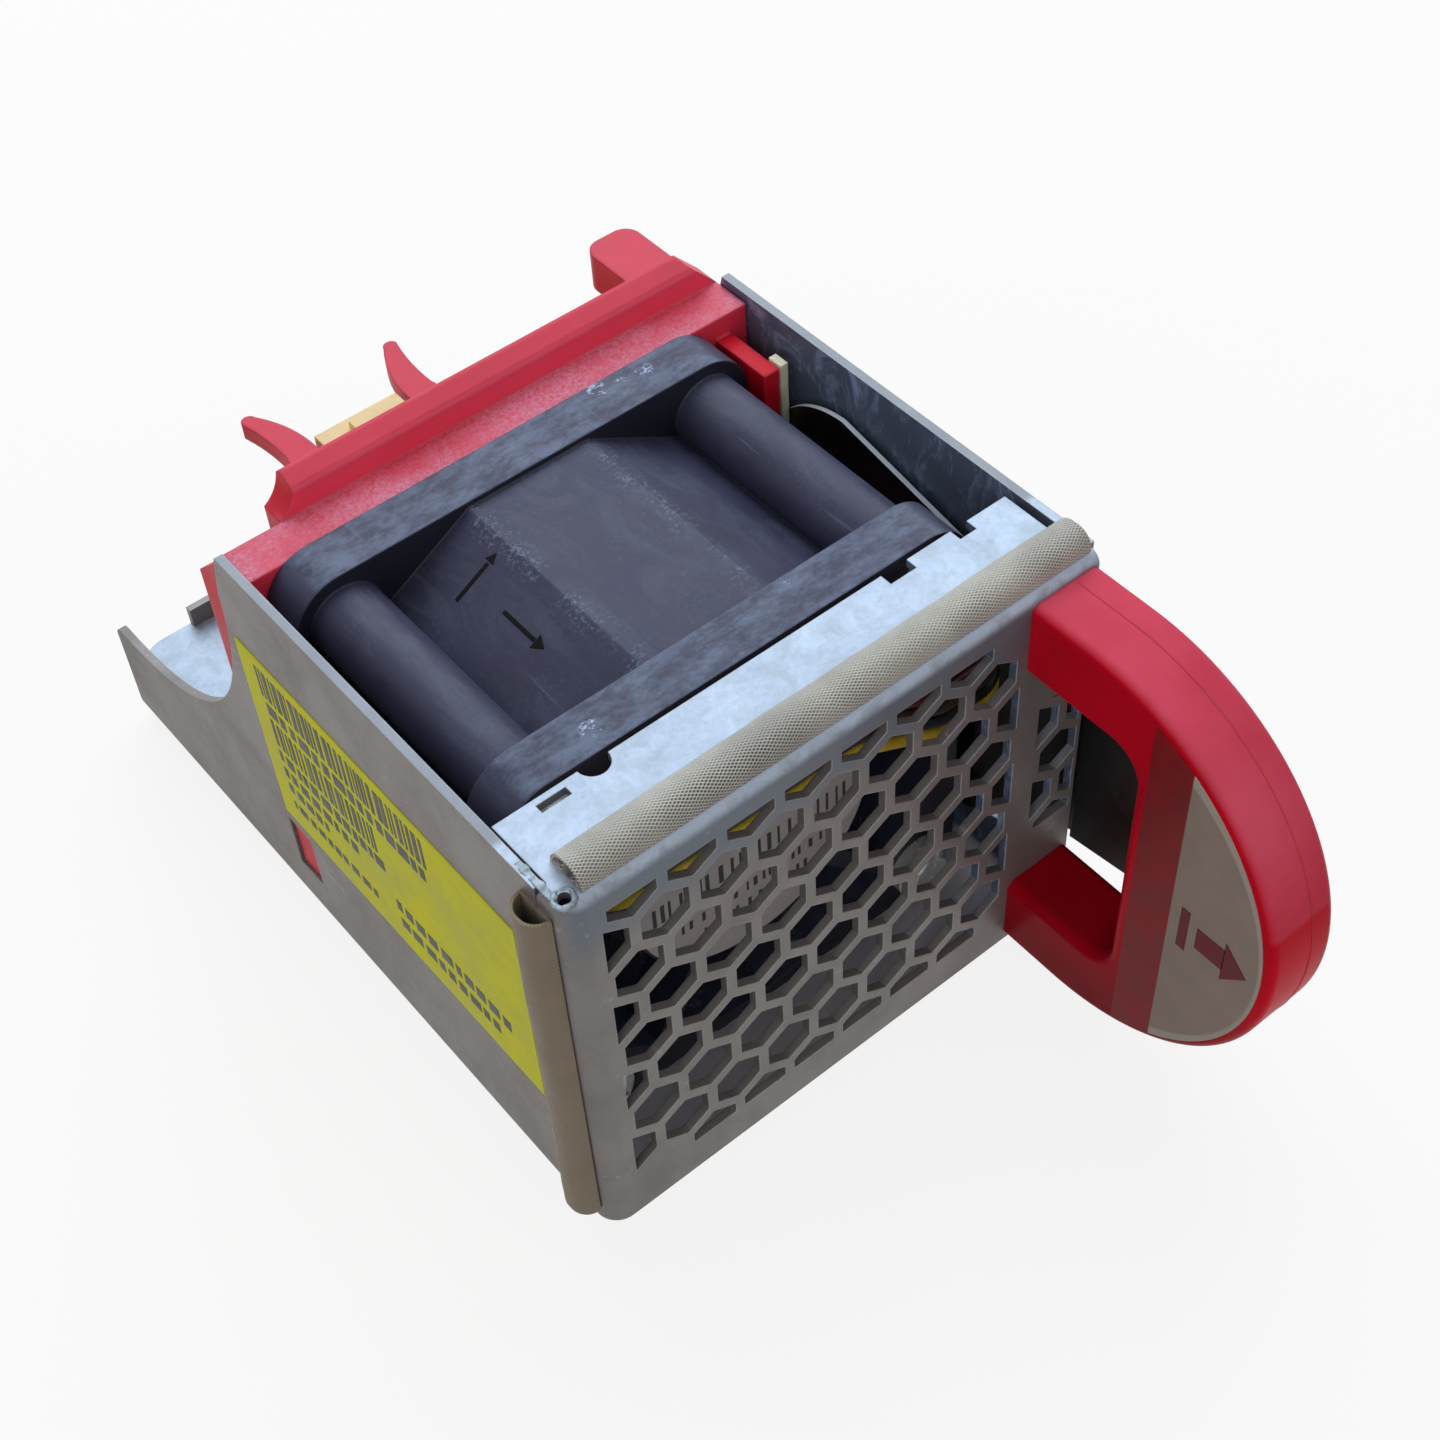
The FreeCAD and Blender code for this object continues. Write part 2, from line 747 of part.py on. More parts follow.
def front_plate():
    w = A.half
    g = S.sheet_gauge
    top = S.tray_height
    rear = A.flange_rear
    outer = bent_block("plate_outer", (-w, S.plate_right), (0, rear), (S.plate_bottom, top),
                       S.bend_radius, S.top_bend)
    inner = bent_block("plate_inner", (g - w, S.plate_right + BEYOND), (g, rear + BEYOND),
                       (S.plate_bottom - BEYOND, top - g), S.bend_radius - g, S.top_bend - g)
    bent = cut("plate_bent", outer, [inner])
    side = A.wall - S.lap_play
    lap = block("plate_lap", (-side, g - side), (S.plate_return - 1, S.plate_return + S.lap_length),
                (S.plate_bottom + 6, top - 7))
    step = block("plate_step", (-w + g / 2, g - side), (S.plate_return - 1, S.plate_return),
                 (S.plate_bottom + 6, top - 7))
    tab_rear = S.plate_return + 3.4
    mid = S.lever_middle
    near = lever_edge(0) + S.way_margin + 0.4
    far = lever_edge(tab_rear) + S.way_margin + 0.4
    upper = padded("plate_tab_upper", "YZ", (side - g, side), [[
        (0, mid + near), (tab_rear, mid + far), (tab_rear, top - 1.2), (0, top - 1.2),
    ]])
    lower = padded("plate_tab_lower", "YZ", (side - g, side), [[
        (0, S.plate_bottom), (tab_rear, S.plate_bottom), (tab_rear, mid - far), (0, mid - near),
    ]])
    through = (top - BEYOND, top + BEYOND)
    inwards = (rear - S.notch_depth, rear + BEYOND)
    tools = [
        block("plate_trim_left", (-w - BEYOND, g - w + 0.15), (S.plate_return, rear + BEYOND),
              (S.plate_bottom - BEYOND, top + BEYOND)),
        block("plate_trim_right", (S.flange_right, S.plate_right + BEYOND), (S.top_bend + 0.3, rear + BEYOND),
              (top - g - 0.1, top + BEYOND)),
        rod("plate_corner_hole", "Z", (S.corner_hole_at - w, S.corner_hole_at), S.corner_hole,
            (top - 2 * g, top + BEYOND)),
        block("plate_slot", (S.slot_left, S.slot_right), (rear - S.slot_rear, rear - S.slot_front), through),
        rod("plate_half_round", "Z", (S.scoop_at, rear), S.scoop_radius, through),
        block("plate_notch", (S.notch_left, S.notch_right), inwards, through),
        block("plate_relief", (S.relief_left, S.relief_right), inwards, through),
        hexagons("grille", (S.grille_left, S.grille_left + S.grille_width),
                 (S.grille_top - S.grille_height, S.grille_top), True),
        hexagons("vent", (S.vent_left, S.vent_right), (S.vent_bottom, S.vent_top), False),
    ]
    for z, name in zip(handle_screw_heights(), ("low", "high")):
        tools.append(rod("plate_hole_" + name, "Y", (A.screw_x, z), S.handle_screw_radius + 0.2,
                         (-BEYOND, BEYOND)))
    trimmed = cut("plate_trimmed", bent, tools)
    keep(fuse("plate_whole", [trimmed, lap, step, upper, lower]), "front_plate")


def d_section(w, h, r, skin):
    outer = [(w, 0), (w, h - r), (w - r, h, r, LEFT), (r, h), (0, h - r, r, LEFT), (0, 0)]
    inner = [
        (w - skin, skin), (w - skin, h - r), (w - r, h - skin, r - skin, LEFT),
        (r, h - skin), (skin, h - r, r - skin, LEFT), (skin, skin),
    ]
    return [outer, inner]


def gaskets():
    section = d_section(S.gasket_width, S.gasket_height, S.gasket_round, S.gasket_skin)
    flat = padded("gasket_flat", "YZ", (0, S.gasket_right - S.gasket_left), section)
    keep(place(flat, S.gasket_left, S.gasket_setback, S.tray_height), "top_gasket")
    tall = padded("gasket_tall", "YZ", (0, S.side_gasket_high - S.side_gasket_low), section)
    upright = Rotation(Vector(0, 0, 1), Vector(0, 1, 0), Vector(-1, 0, 0), "XYZ")
    keep(place(tall, -A.half, S.side_gasket_setback, S.side_gasket_low, upright), "side_gasket")


def fan_corners():
    half = S.fan_hole_pitch / 2
    return [(half * i, half * j) for i in (1, -1) for j in (1, -1)]


def fan_frame():
    body = new_body("fan_frame_body")
    half = S.fan_size / 2
    side = half - S.barrel_inset
    depth = S.fan_depth
    step = math.radians(360 / BARREL_SIDES)
    corner = side / math.cos(step / 2)
    add_pad(body, "XZ", (0, depth), [[
        (corner * math.cos(step * (i + 0.5)), corner * math.sin(step * (i + 0.5)))
        for i in range(BARREL_SIDES)
    ]])
    square = rounded(-half, half, -half, half, S.fan_corner)
    add_pad(body, "XZ", (0, S.fan_flange), [square])
    add_pad(body, "XZ", (depth - S.fan_flange, depth), [square])
    add_pad(body, "XZ", (0, depth), (), [(x, z, S.post_radius) for x, z in fan_corners()])
    add_pocket(body, "XZ", (0, depth), (), [(0, 0, S.bore_radius)])
    add_pocket(body, "XZ", (0, depth), (), [(x, z, S.fan_hole) for x, z in fan_corners()])
    c = math.cos(math.radians(number_of(S.strut_phase)))
    s = math.sin(math.radians(number_of(S.strut_phase)))
    reach = S.bore_radius + 0.5
    h = S.strut_width / 2
    strut = add_pad(body, "XZ", (S.base_recess, S.base_recess + S.strut_depth), [[
        (h * s, -h * c), (reach * c + h * s, reach * s - h * c),
        (reach * c - h * s, reach * s + h * c), (-h * s, h * c),
    ]])
    add_pattern(body, strut, STRUTS)
    add_pad(body, "XZ", (A.base_front, A.base_rear), (), [(0, 0, S.base_radius)])
    add_pad(body, "XZ", (A.base_rear, S.board_at), (), [(0, 0, S.shoulder_radius)])
    add_pad(body, "XZ", (S.board_at, A.tube_rear), (), [(0, 0, S.tube_radius)])
    add_pocket(body, "XZ", (S.board_at, S.base_recess + S.strut_depth + 0.1), (),
               [(0, 0, S.board_radius + 0.3), (0, 0, S.tube_radius)])
    seat = S.bearing_radius + S.seat_fit
    shoulder = S.front_bearing_at + S.bearing_width + S.spring_thickness
    add_pocket(body, "XZ", (S.shaft_front - 0.5, shoulder), (), [(0, 0, seat)])
    add_pocket(body, "XZ", (shoulder, S.rear_bearing_at), (), [(0, 0, S.tube_neck)])
    add_pocket(body, "XZ", (S.rear_bearing_at, A.tube_rear), (), [(0, 0, seat)])
    low = S.lead_low - S.notch_margin
    high = S.lead_low + S.lead_step * (len(LEADS) - 1) + S.notch_margin
    add_pocket(body, "XZ", (A.base_front, A.base_rear), [rectangle(-S.base_radius, -S.lead_seat, low, high)])
    keep(on_shaft(body), "fan_frame")
    label = padded("hub_label_body", "XZ", (A.base_front - S.label_thickness, A.base_front), (),
                   [(0, 0, S.hub_label_radius)])
    keep(on_shaft(label), "hub_label")


def bearing(name, at):
    inner = S.shaft_radius + S.run_fit
    outer = S.bearing_radius
    third = (outer - inner) / 3
    dish = 0.2
    body = turned(name + "_body", [[
        (inner + third, at), (inner + third, at + dish), (outer - third, at + dish), (outer - third, at),
        (outer, at), (outer, at + S.bearing_width), (outer - third, at + S.bearing_width),
        (outer - third, at + S.bearing_width - dish), (inner + third, at + S.bearing_width - dish),
        (inner + third, at + S.bearing_width), (inner, at + S.bearing_width), (inner, at),
    ]])
    keep(on_shaft(body), name)


def motor():
    bearing("front_bearing", S.front_bearing_at)
    bearing("rear_bearing", S.rear_bearing_at)
    start = S.front_bearing_at + S.bearing_width
    spring = turned("spring_body", [rectangle(
        S.tube_neck, S.bearing_radius - 0.1, start, start + S.spring_thickness)])
    keep(on_shaft(spring), "preload_spring")
    board = padded("board_body", "XZ", (S.board_at, S.board_at + S.board_thickness), (),
                   [(0, 0, S.board_radius), (0, 0, S.tube_radius + S.seat_fit)])
    keep(on_shaft(board), "fan_board")
    core = new_body("core_body")
    span = (S.core_at, S.core_at + S.core_length)
    inner = S.tube_radius + S.seat_fit
    rim = S.core_radius - S.core_rim
    add_pad(core, "XZ", span, (), [(0, 0, S.core_hub), (0, 0, inner)])
    half = S.pole_width / 2
    pole = add_pad(core, "XZ", span, [rectangle(inner + 0.4, rim + 0.2, -half, half)])
    add_pattern(core, pole, POLES)
    add_pad(core, "XZ", span, (), [(0, 0, S.core_radius), (0, 0, rim)])
    corner = (S.core_radius - S.core_rim / 2) * math.sqrt(0.5)
    slots = [(corner * i, corner * j, S.pole_gap) for i in (1, -1) for j in (1, -1)]
    add_pocket(core, "XZ", span, (), slots)
    keep(on_shaft(core), "stator_core")
    coil = new_body("coil_body")
    coil.AllowCompound = True
    build = half + S.coil_build
    deep = (S.core_at - S.coil_build, S.core_at + S.core_length + S.coil_build)
    near = S.core_hub + 0.2
    far = rim - 0.2
    ring_of_wire = add_pad(coil, "XZ", deep, [rectangle(near, far, -build, build)])
    add_pattern(coil, ring_of_wire, POLES)
    wide = [rectangle(-far - 0.1, far + 0.1, -half - S.seat_fit, half + S.seat_fit)]
    tall = [rectangle(-half - S.seat_fit, half + S.seat_fit, -far - 0.1, far + 0.1)]
    add_pocket(coil, "XZ", (S.core_at - S.seat_fit, span[1] + S.seat_fit), wide)
    add_pocket(coil, "XZ", (S.core_at - S.seat_fit, span[1] + S.seat_fit), tall)
    add_pocket(coil, "XZ", deep, (), [(0, 0, S.core_radius), (0, 0, far)])
    keep(on_shaft(coil), "stator_coils")


def blade_section(body, radius, sweep):
    """A thin cambered strip, drawn across the blade at one radius."""
    front = S.blade_at
    rear = S.blade_at + S.blade_length
    t = S.blade_thickness
    return new_sketch(body, "XY", radius, [[
        (sweep / 2 + t, front), (t - sweep / 2, rear, S.blade_camber, LEFT),
        (-sweep / 2, rear), (sweep / 2, front, S.blade_camber + t, RIGHT),
    ]])


def rotor():
    hub = A.hub_out
    floor = S.hub_floor
    crown = S.hub_floor + S.hub_crown
    bore = S.shaft_radius + 0.01
    wheel = turned("impeller_body", [[
        (A.hub_in, S.hub_at), (hub, S.hub_at), (hub, crown - S.hub_round),
        (hub - S.hub_round, crown, S.hub_round, LEFT), (0, crown), (0, floor), (bore, floor),
        (bore, S.boss_at), (S.boss_radius, S.boss_at), (S.boss_radius, floor), (A.hub_in, floor),
    ]])
    tip = S.bore_radius - S.tip_gap
    root = blade_section(wheel, hub - 0.75, S.blade_root_sweep)
    end = blade_section(wheel, tip + 0.3, S.blade_tip_sweep)
    blade = wheel.newObject("PartDesign::AdditiveLoft", "impeller_blade")
    blade.Profile = root
    blade.Sections = [end]
    wheel.Tip = blade
    doc.recompute()
    add_pattern(wheel, blade, BLADES)
    on_shaft(wheel)
    rim = rod("impeller_rim", "Y", (A.fan_x, A.fan_z), tip, (A.fan_front, A.fan_rear))
    keep(overlap("impeller_whole", wheel, rim), "impeller")
    yoke_out = A.yoke_in + S.yoke_wall
    yoke = turned("yoke_body", [[
        (A.yoke_in, S.yoke_at), (yoke_out, S.yoke_at), (yoke_out, floor),
        (S.boss_radius + 0.05, floor), (S.boss_radius + 0.05, floor - S.yoke_wall),
        (A.yoke_in, floor - S.yoke_wall),
    ]])
    keep(on_shaft(yoke), "rotor_yoke")
    magnet = turned("magnet_body", [rectangle(
        A.magnet_in, A.magnet_in + S.magnet_wall, S.magnet_at, S.magnet_at + S.magnet_length)])
    keep(on_shaft(magnet), "ring_magnet")
    shaft = turned("shaft_body", [[
        (S.shaft_radius - 0.2, S.shaft_front), (S.shaft_radius, S.shaft_front + 0.2),
        (S.shaft_radius, floor), (0, floor), (0, S.shaft_front),
    ]])
    keep(on_shaft(shaft), "shaft")
    clip_rear = S.front_bearing_at - 0.05
    clip = turned("clip_body", [rectangle(
        S.shaft_radius + 0.01, S.clip_radius, clip_rear - S.clip_thickness, clip_rear)])
    mouth = block("clip_mouth", (A.fan_x - 0.3, A.fan_x + 0.3),
                  (A.fan_front, A.fan_front + S.front_bearing_at),
                  (A.fan_z, A.fan_z + S.clip_radius + BEYOND))
    keep(cut("clip_open", on_shaft(clip), [mouth]), "shaft_clip")


def screw(name, x, seat, z, point, sizes):
    """A pan-head screw along Y with a cross recess; its head sits at seat, its end is at point."""
    radius, head, cap, toward = sizes
    top = seat + cap * toward
    dome = cap * 0.45
    length = (point - seat) * -toward
    outline = [
        (0, -length), (radius * 0.7, -length), (radius, radius * 0.5 - length), (radius, 0), (head, 0),
        (head, cap - dome), (head * 0.6, cap), (0, cap),
    ]
    if toward < 0:
        outline = [(step[0], -step[1]) for step in reversed(outline)]
    body = turned(name, [outline])
    place(body, x, seat, z)
    bottom = seat + (cap - S.recess_depth) * toward
    span = (top - BEYOND, bottom) if toward < 0 else (bottom, top + BEYOND)
    wide = head * 0.55
    thin = S.recess_width / 2
    flat = block(name + "_slot_flat", (x - wide, x + wide), span, (z - thin, z + thin))
    tall = block(name + "_slot_tall", (x - thin, x + thin), span, (z - wide, z + wide))
    return cut(name + "_recessed", body, [flat, tall])


def handle_screw_heights():
    inset = S.handle_leg - S.handle_screw_inset
    return A.handle_low + inset, A.handle_low + S.handle_height - inset


def screws():
    sizes = (S.screw_radius, S.screw_head_radius, S.screw_head_height, -1)
    point = A.fan_rear + S.screw_bite
    long_ones = [
        screw("fan_screw_%d" % i, A.fan_x + x, A.fan_front, A.fan_z + z, point, sizes)
        for i, (x, z) in enumerate(fan_corners())
    ]
    keep(group("fan_screw_set", long_ones), "fan_screws")
    sizes = (S.handle_screw_radius, S.handle_screw_head, S.handle_screw_cap, 1)
    point = S.sheet_gauge - S.handle_screw_length
    short_ones = [
        screw("handle_screw_%d" % i, A.screw_x, S.sheet_gauge, z, point, sizes)
        for i, z in enumerate(handle_screw_heights())
    ]
    keep(group("handle_screw_set", short_ones), "handle_screws")


def finger(name, side):
    """A guide finger beside the plug: an upright fin and a thin prong, flared outwards at its tip."""
    inner = S.plug_width / 2 + S.finger_play
    outer = inner + S.finger_width
    front = A.ring_rear + S.finger_start
    straight = A.plug_front + S.plug_length - 1
    tip = straight + S.finger_tip
    point = S.finger_point
    bend = S.finger_tip - point
    bow = (bend * bend + S.finger_flare * S.finger_flare) / (S.finger_flare * 2)
    outward, inward = (LEFT, RIGHT) if side < 0 else (RIGHT, LEFT)
    flared = inner + S.finger_flare
    path = [
        (inner * side, front), (inner * side, straight),
        (flared * side, tip - point, bow, outward),
        ((flared + point * 2) * side, tip - point, point * 1.02, outward),
        (outer * side, straight - 1, S.finger_bow, inward), (outer * side, front),
    ]
    high = S.shelf_top + S.finger_height
    across = (inner, outer) if side > 0 else (-outer, -inner)
    fin = block(name, across, (front, straight), (S.shelf_top - S.shelf_thickness, high))
    return [fin, padded(name + "_prong", "XY", (high - S.prong_depth, high), [path])]


def rear_bracket():
    b = A.bracket
    front = A.fan_rear
    rear = A.ring_rear
    low = A.floor + S.fan_lift
    ledge = A.ledge
    crest = ledge + S.rail_rise
    rail_rear = rear + S.rail_depth
    ring_plate = block("bracket_ring", (-b, b), (front, rear), (low, ledge))
    brow = crest - S.rail_fall
    rail_block = padded("bracket_rail_block", "XZ", (rear, rail_rear), [[
        (b, ledge), (S.rail_right, crest), (S.rail_left, crest),
        (S.rail_foot, ledge, S.rail_sweep, RIGHT),
    ]])
    fall = padded("bracket_rail_fall", "YZ", (S.rail_foot - BEYOND, b + BEYOND), [[
        (rear, brow), (rail_rear, crest), (rail_rear, crest + BEYOND), (rear, crest + BEYOND),
    ]])
    rail = cut("bracket_rail", rail_block, [fall])
    doc.recompute()
    rail = round_edges("bracket_rail_rounded", rail, [
        (S.rail_round, {"y": rear, "z": brow}), (S.rail_round, {"y": rail_rear, "z": crest}),
    ])
    root = block("bracket_rail_root", (S.rail_foot, b), (rear, rail_rear),
                 (ledge - S.rail_root, ledge))
    cheek_rear = rear + S.cheek_depth
    cheek = [(rear - 0.5, low), (cheek_rear, low), (cheek_rear, ledge - S.cheek_drop), (rear - 0.5, ledge)]
    left = padded("bracket_cheek_left", "YZ", (-b, S.cheek_wall - b), [cheek])
    right = padded("bracket_cheek_right", "YZ", (b - S.cheek_wall, b), [cheek])
    stop_rear = rail_rear + S.stop_depth
    stop = block("bracket_stop_block", (S.stop_left, S.stop_right), (rail_rear - S.stop_root, stop_rear),
                 (crest - S.stop_height, crest - S.stop_drop))
    stop = round_edges("bracket_stop", stop, [
        (S.stop_round, {"x": S.stop_left, "y": stop_rear}),
        (S.stop_round, {"x": S.stop_right, "y": stop_rear}),
    ])
    arm = block("bracket_arm", (A.fan_side + S.arm_play, A.anchor_in - S.anchor_gap),
                (front - S.arm_length, front + 0.5), (S.arm_bottom, S.arm_top))
    bar_rear = rear + S.bar_depth
    bar = block("bracket_bar", (-b, b), (rear, bar_rear), (S.bar_bottom, S.shelf_top))
    shelf_half = S.plug_width / 2 + S.finger_play + S.finger_width
    shelf = block("bracket_shelf", (-shelf_half, shelf_half), (bar_rear - 0.5, bar_rear + S.shelf_depth),
                  (S.shelf_top - S.shelf_thickness, S.shelf_top))
    snap_front, snap_rear = snap_span()
    snaps = block("bracket_snaps", (-b - S.snap_reach, b + S.snap_reach), (snap_front, snap_rear),
                  (S.snap_low, S.snap_low + S.snap_height))
    fingers = finger("bracket_finger_left", -1) + finger("bracket_finger_right", 1)
    whole = fuse("bracket_solid", [
        ring_plate, rail, root, left, right, stop, arm, bar, shelf, snaps, *fingers,
    ])
    tools = [rod("bracket_intake", "Y", (A.fan_x, A.fan_z), S.bore_radius, (front - BEYOND, rear))]
    for i, (x, z) in enumerate(fan_corners()):
        tools.append(rod("bracket_hole_%d" % i, "Y", (A.fan_x + x, A.fan_z + z),
                         S.screw_radius + S.screw_play, (front - BEYOND, rear)))
    lane = A.fan_side + S.side_lane
    first = A.fan_z + S.lead_low
    last = first + S.lead_step * (len(LEADS) - 1)
    tools.append(block("bracket_lead_way", (lane - S.lead_radius - 0.35, lane + S.lead_radius + 0.35),
                       (front - BEYOND, rear + BEYOND), (first - 0.9, last + 0.9)))
    r = S.bend_radius - S.sheet_gauge - S.side_play
    span = (front - BEYOND, cheek_rear + BEYOND)
    for side, name in ((1, "right"), (-1, "left")):
        edge = b * side
        turn = (b - r) * side
        x = (turn, edge + BEYOND) if side > 0 else (edge - BEYOND, turn)
        bulk = block("bracket_corner_block_" + name, x, span, (low - BEYOND, low + r))
        bend = rod("bracket_corner_bend_" + name, "Y", (turn, low + r), r, span)
        tools.append(cut("bracket_corner_" + name, bulk, [bend]))
    keep(cut("bracket_whole", whole, tools), "rear_bracket")


def connector():
    half = S.plug_width / 2
    front = A.plug_front
    rear = front + S.plug_length
    low = S.shelf_top
    high = low + S.plug_height
    shell = block("plug_block", (-half, half), (front, rear), (low, high))
    key = block("plug_key", (-S.key_width / 2, S.key_width / 2), (front + 2, rear - 1),
                (high - 0.5, high + S.key_height))
    cavity_front = rear - S.plug_cavity
    cavity = block("plug_cavity_space", (S.plug_wall - half, half - S.plug_wall),
                   (cavity_front, rear + BEYOND), (low + S.plug_wall, high - S.plug_wall))
    keep(cut("plug_whole", fuse("plug_solid", [shell, key]), [cavity]), "connector_housing")
    p = S.pin_size / 2
    pins = [
        block("pin_%d" % i, (x - p, x + p), (cavity_front, cavity_front + S.pin_length),
              (A.plug_mid - p, A.plug_mid + p))
        for i, x in enumerate(pin_places())
    ]
    keep(group("pin_set", pins), "connector_contacts")


def pin_places():
    return [S.pin_pitch * (i - (PINS - 1) / 2) for i in range(PINS)]


def smooth_wire(points, radii):
    """Straight runs joined by tangent arcs."""
    edges = []
    start = points[0]
    for before, corner, after, radius in zip(points, points[1:], points[2:], radii):
        into = (corner - before).normalize()
        out = (after - corner).normalize()
        reach = radius * math.tan(into.getAngle(out) / 2)
        first = corner - into * reach
        last = corner + out * reach
        towards = (out - into).normalize()
        far = math.hypot(radius, reach) - radius
        edges.append(Part.LineSegment(start, first).toShape())
        edges.append(Part.Arc(first, corner + towards * far, last).toShape())
        start = last
    edges.append(Part.LineSegment(start, points[-1]).toShape())
    return Part.Wire(edges)


def leads():
    """Four leads from the motor base, round the fan's front and side, to the plug."""
    radius = number_of(S.lead_radius)
    fan_x, front = number_of(A.fan_x), number_of(A.fan_front)
    start_y = front + number_of(A.base_front + S.lead_drop)
    lane_y = number_of(S.lead_lane)
    side_x = number_of(A.fan_side + S.side_lane)
    plug_y, plug_z = number_of(A.plug_front), number_of(A.plug_mid)
    turn = (start_y - lane_y) / 2 - 0.01
    turn_x = fan_x - number_of(S.base_radius) - turn - number_of(S.lead_exit)
    fall_x = fan_x + number_of(S.lead_fall_at)
    landed_x = fall_x + number_of(S.lead_fall_run)
    bend = number_of(S.lead_bend)
    for i, name in enumerate(LEADS):
        z = number_of(A.fan_z + S.lead_low) + i * number_of(S.lead_step)
        risen_z = z + number_of(S.lead_rise)
        pin_x = number_of(pin_places()[len(LEADS) - 1 - i])
        last_y = plug_y - 2.8 - i * number_of(S.lead_step)
        points = [
            Vector(fan_x - number_of(S.lead_seat), start_y, z), Vector(turn_x, start_y, z),
            Vector(turn_x, lane_y, risen_z), Vector(fall_x, lane_y, risen_z), Vector(landed_x, lane_y, z),
            Vector(side_x, lane_y, z), Vector(side_x, last_y, z),
            Vector(pin_x, last_y, plug_z), Vector(pin_x, plug_y, plug_z),
        ]
        wire = smooth_wire(points, (turn, turn, bend, bend, 3.6, 2.6, 2.5))
        section = Part.Wire(Part.makeCircle(radius, points[0], points[1] - points[0]))
        tube = wire.makePipeShell([section], True, True)
        expected = math.pi * radius ** 2 * wire.Length
        if abs(tube.Volume - expected) > 0.02 * expected:
            raise RuntimeError("lead volume is off: %s" % name)
        feature = doc.addObject("Part::Feature", name + "_tube")
        feature.Shape = tube
        keep(feature, name)


def flat_edges(shape, lower, upper, inside):
    """Edges of the handle's two flat sides, round the finger opening or round the outside."""
    names = []
    sides = (number_of(S.handle_left), number_of(S.handle_left + S.handle_width))
    for index, edge in enumerate(shape.Edges, start=1):
        box = edge.BoundBox
        on_side = box.XMax - box.XMin < 1e-3 and min(abs(box.XMin - x) for x in sides) < 1e-3
        in_opening = box.YMin > -number_of(S.handle_gap) - 1e-3
        in_opening = in_opening and box.ZMin > number_of(lower) - 1e-3 and box.ZMax < number_of(upper) + 1e-3
        if on_side and box.YMin < -1e-3 and in_opening == inside:
            names.append("Edge%d" % index)
    return names


def handle():
    body = new_body("handle_body")
    low = A.handle_low
    high = low + S.handle_height
    r = S.handle_height / 2
    reach = S.handle_reach
    gap = S.handle_gap
    corner = S.handle_corner
    lower = low + S.handle_leg
    upper = high - S.handle_leg
    add_pad(body, "YZ", (S.handle_left, S.handle_left + S.handle_width), [[
        (0, low), (r - reach, low), (-reach, low + r, r, RIGHT), (r - reach, high, r, RIGHT), (0, high),
        (0, upper), (corner - gap, upper), (-gap, upper - corner, corner, LEFT),
        (-gap, lower + corner), (corner - gap, lower, corner, LEFT), (0, lower),
    ]])
    add_fillet(body, S.handle_edge, flat_edges(body.Shape, lower, upper, False))
    add_fillet(body, S.handle_inner_edge, flat_edges(body.Shape, lower, upper, True))
    holes = [
        rod("handle_hole_%d" % i, "Y", (A.screw_x, z), S.handle_screw_radius + S.screw_play,
            (S.sheet_gauge - S.handle_screw_length - 0.2, BEYOND))
        for i, z in enumerate(handle_screw_heights())
    ]
    keep(cut("handle_whole", body, holes), "handle")
    disc = rod("panel_disc", "X", (r - reach, low + r), r - S.panel_inset,
               (S.handle_left - S.label_thickness, S.handle_left))
    area = block("panel_area", (S.handle_left - BEYOND, S.handle_left + BEYOND),
                 (-reach, -S.panel_start), (low, high))
    keep(overlap("panel_whole", disc, area), "handle_label")


def side_label():
    sheet_span = (-A.half - S.label_thickness, -A.half)
    keep(block("side_label_sheet", sheet_span, (S.side_label_front, S.side_label_rear),
               (S.side_label_low, S.side_label_high)), "side_label")


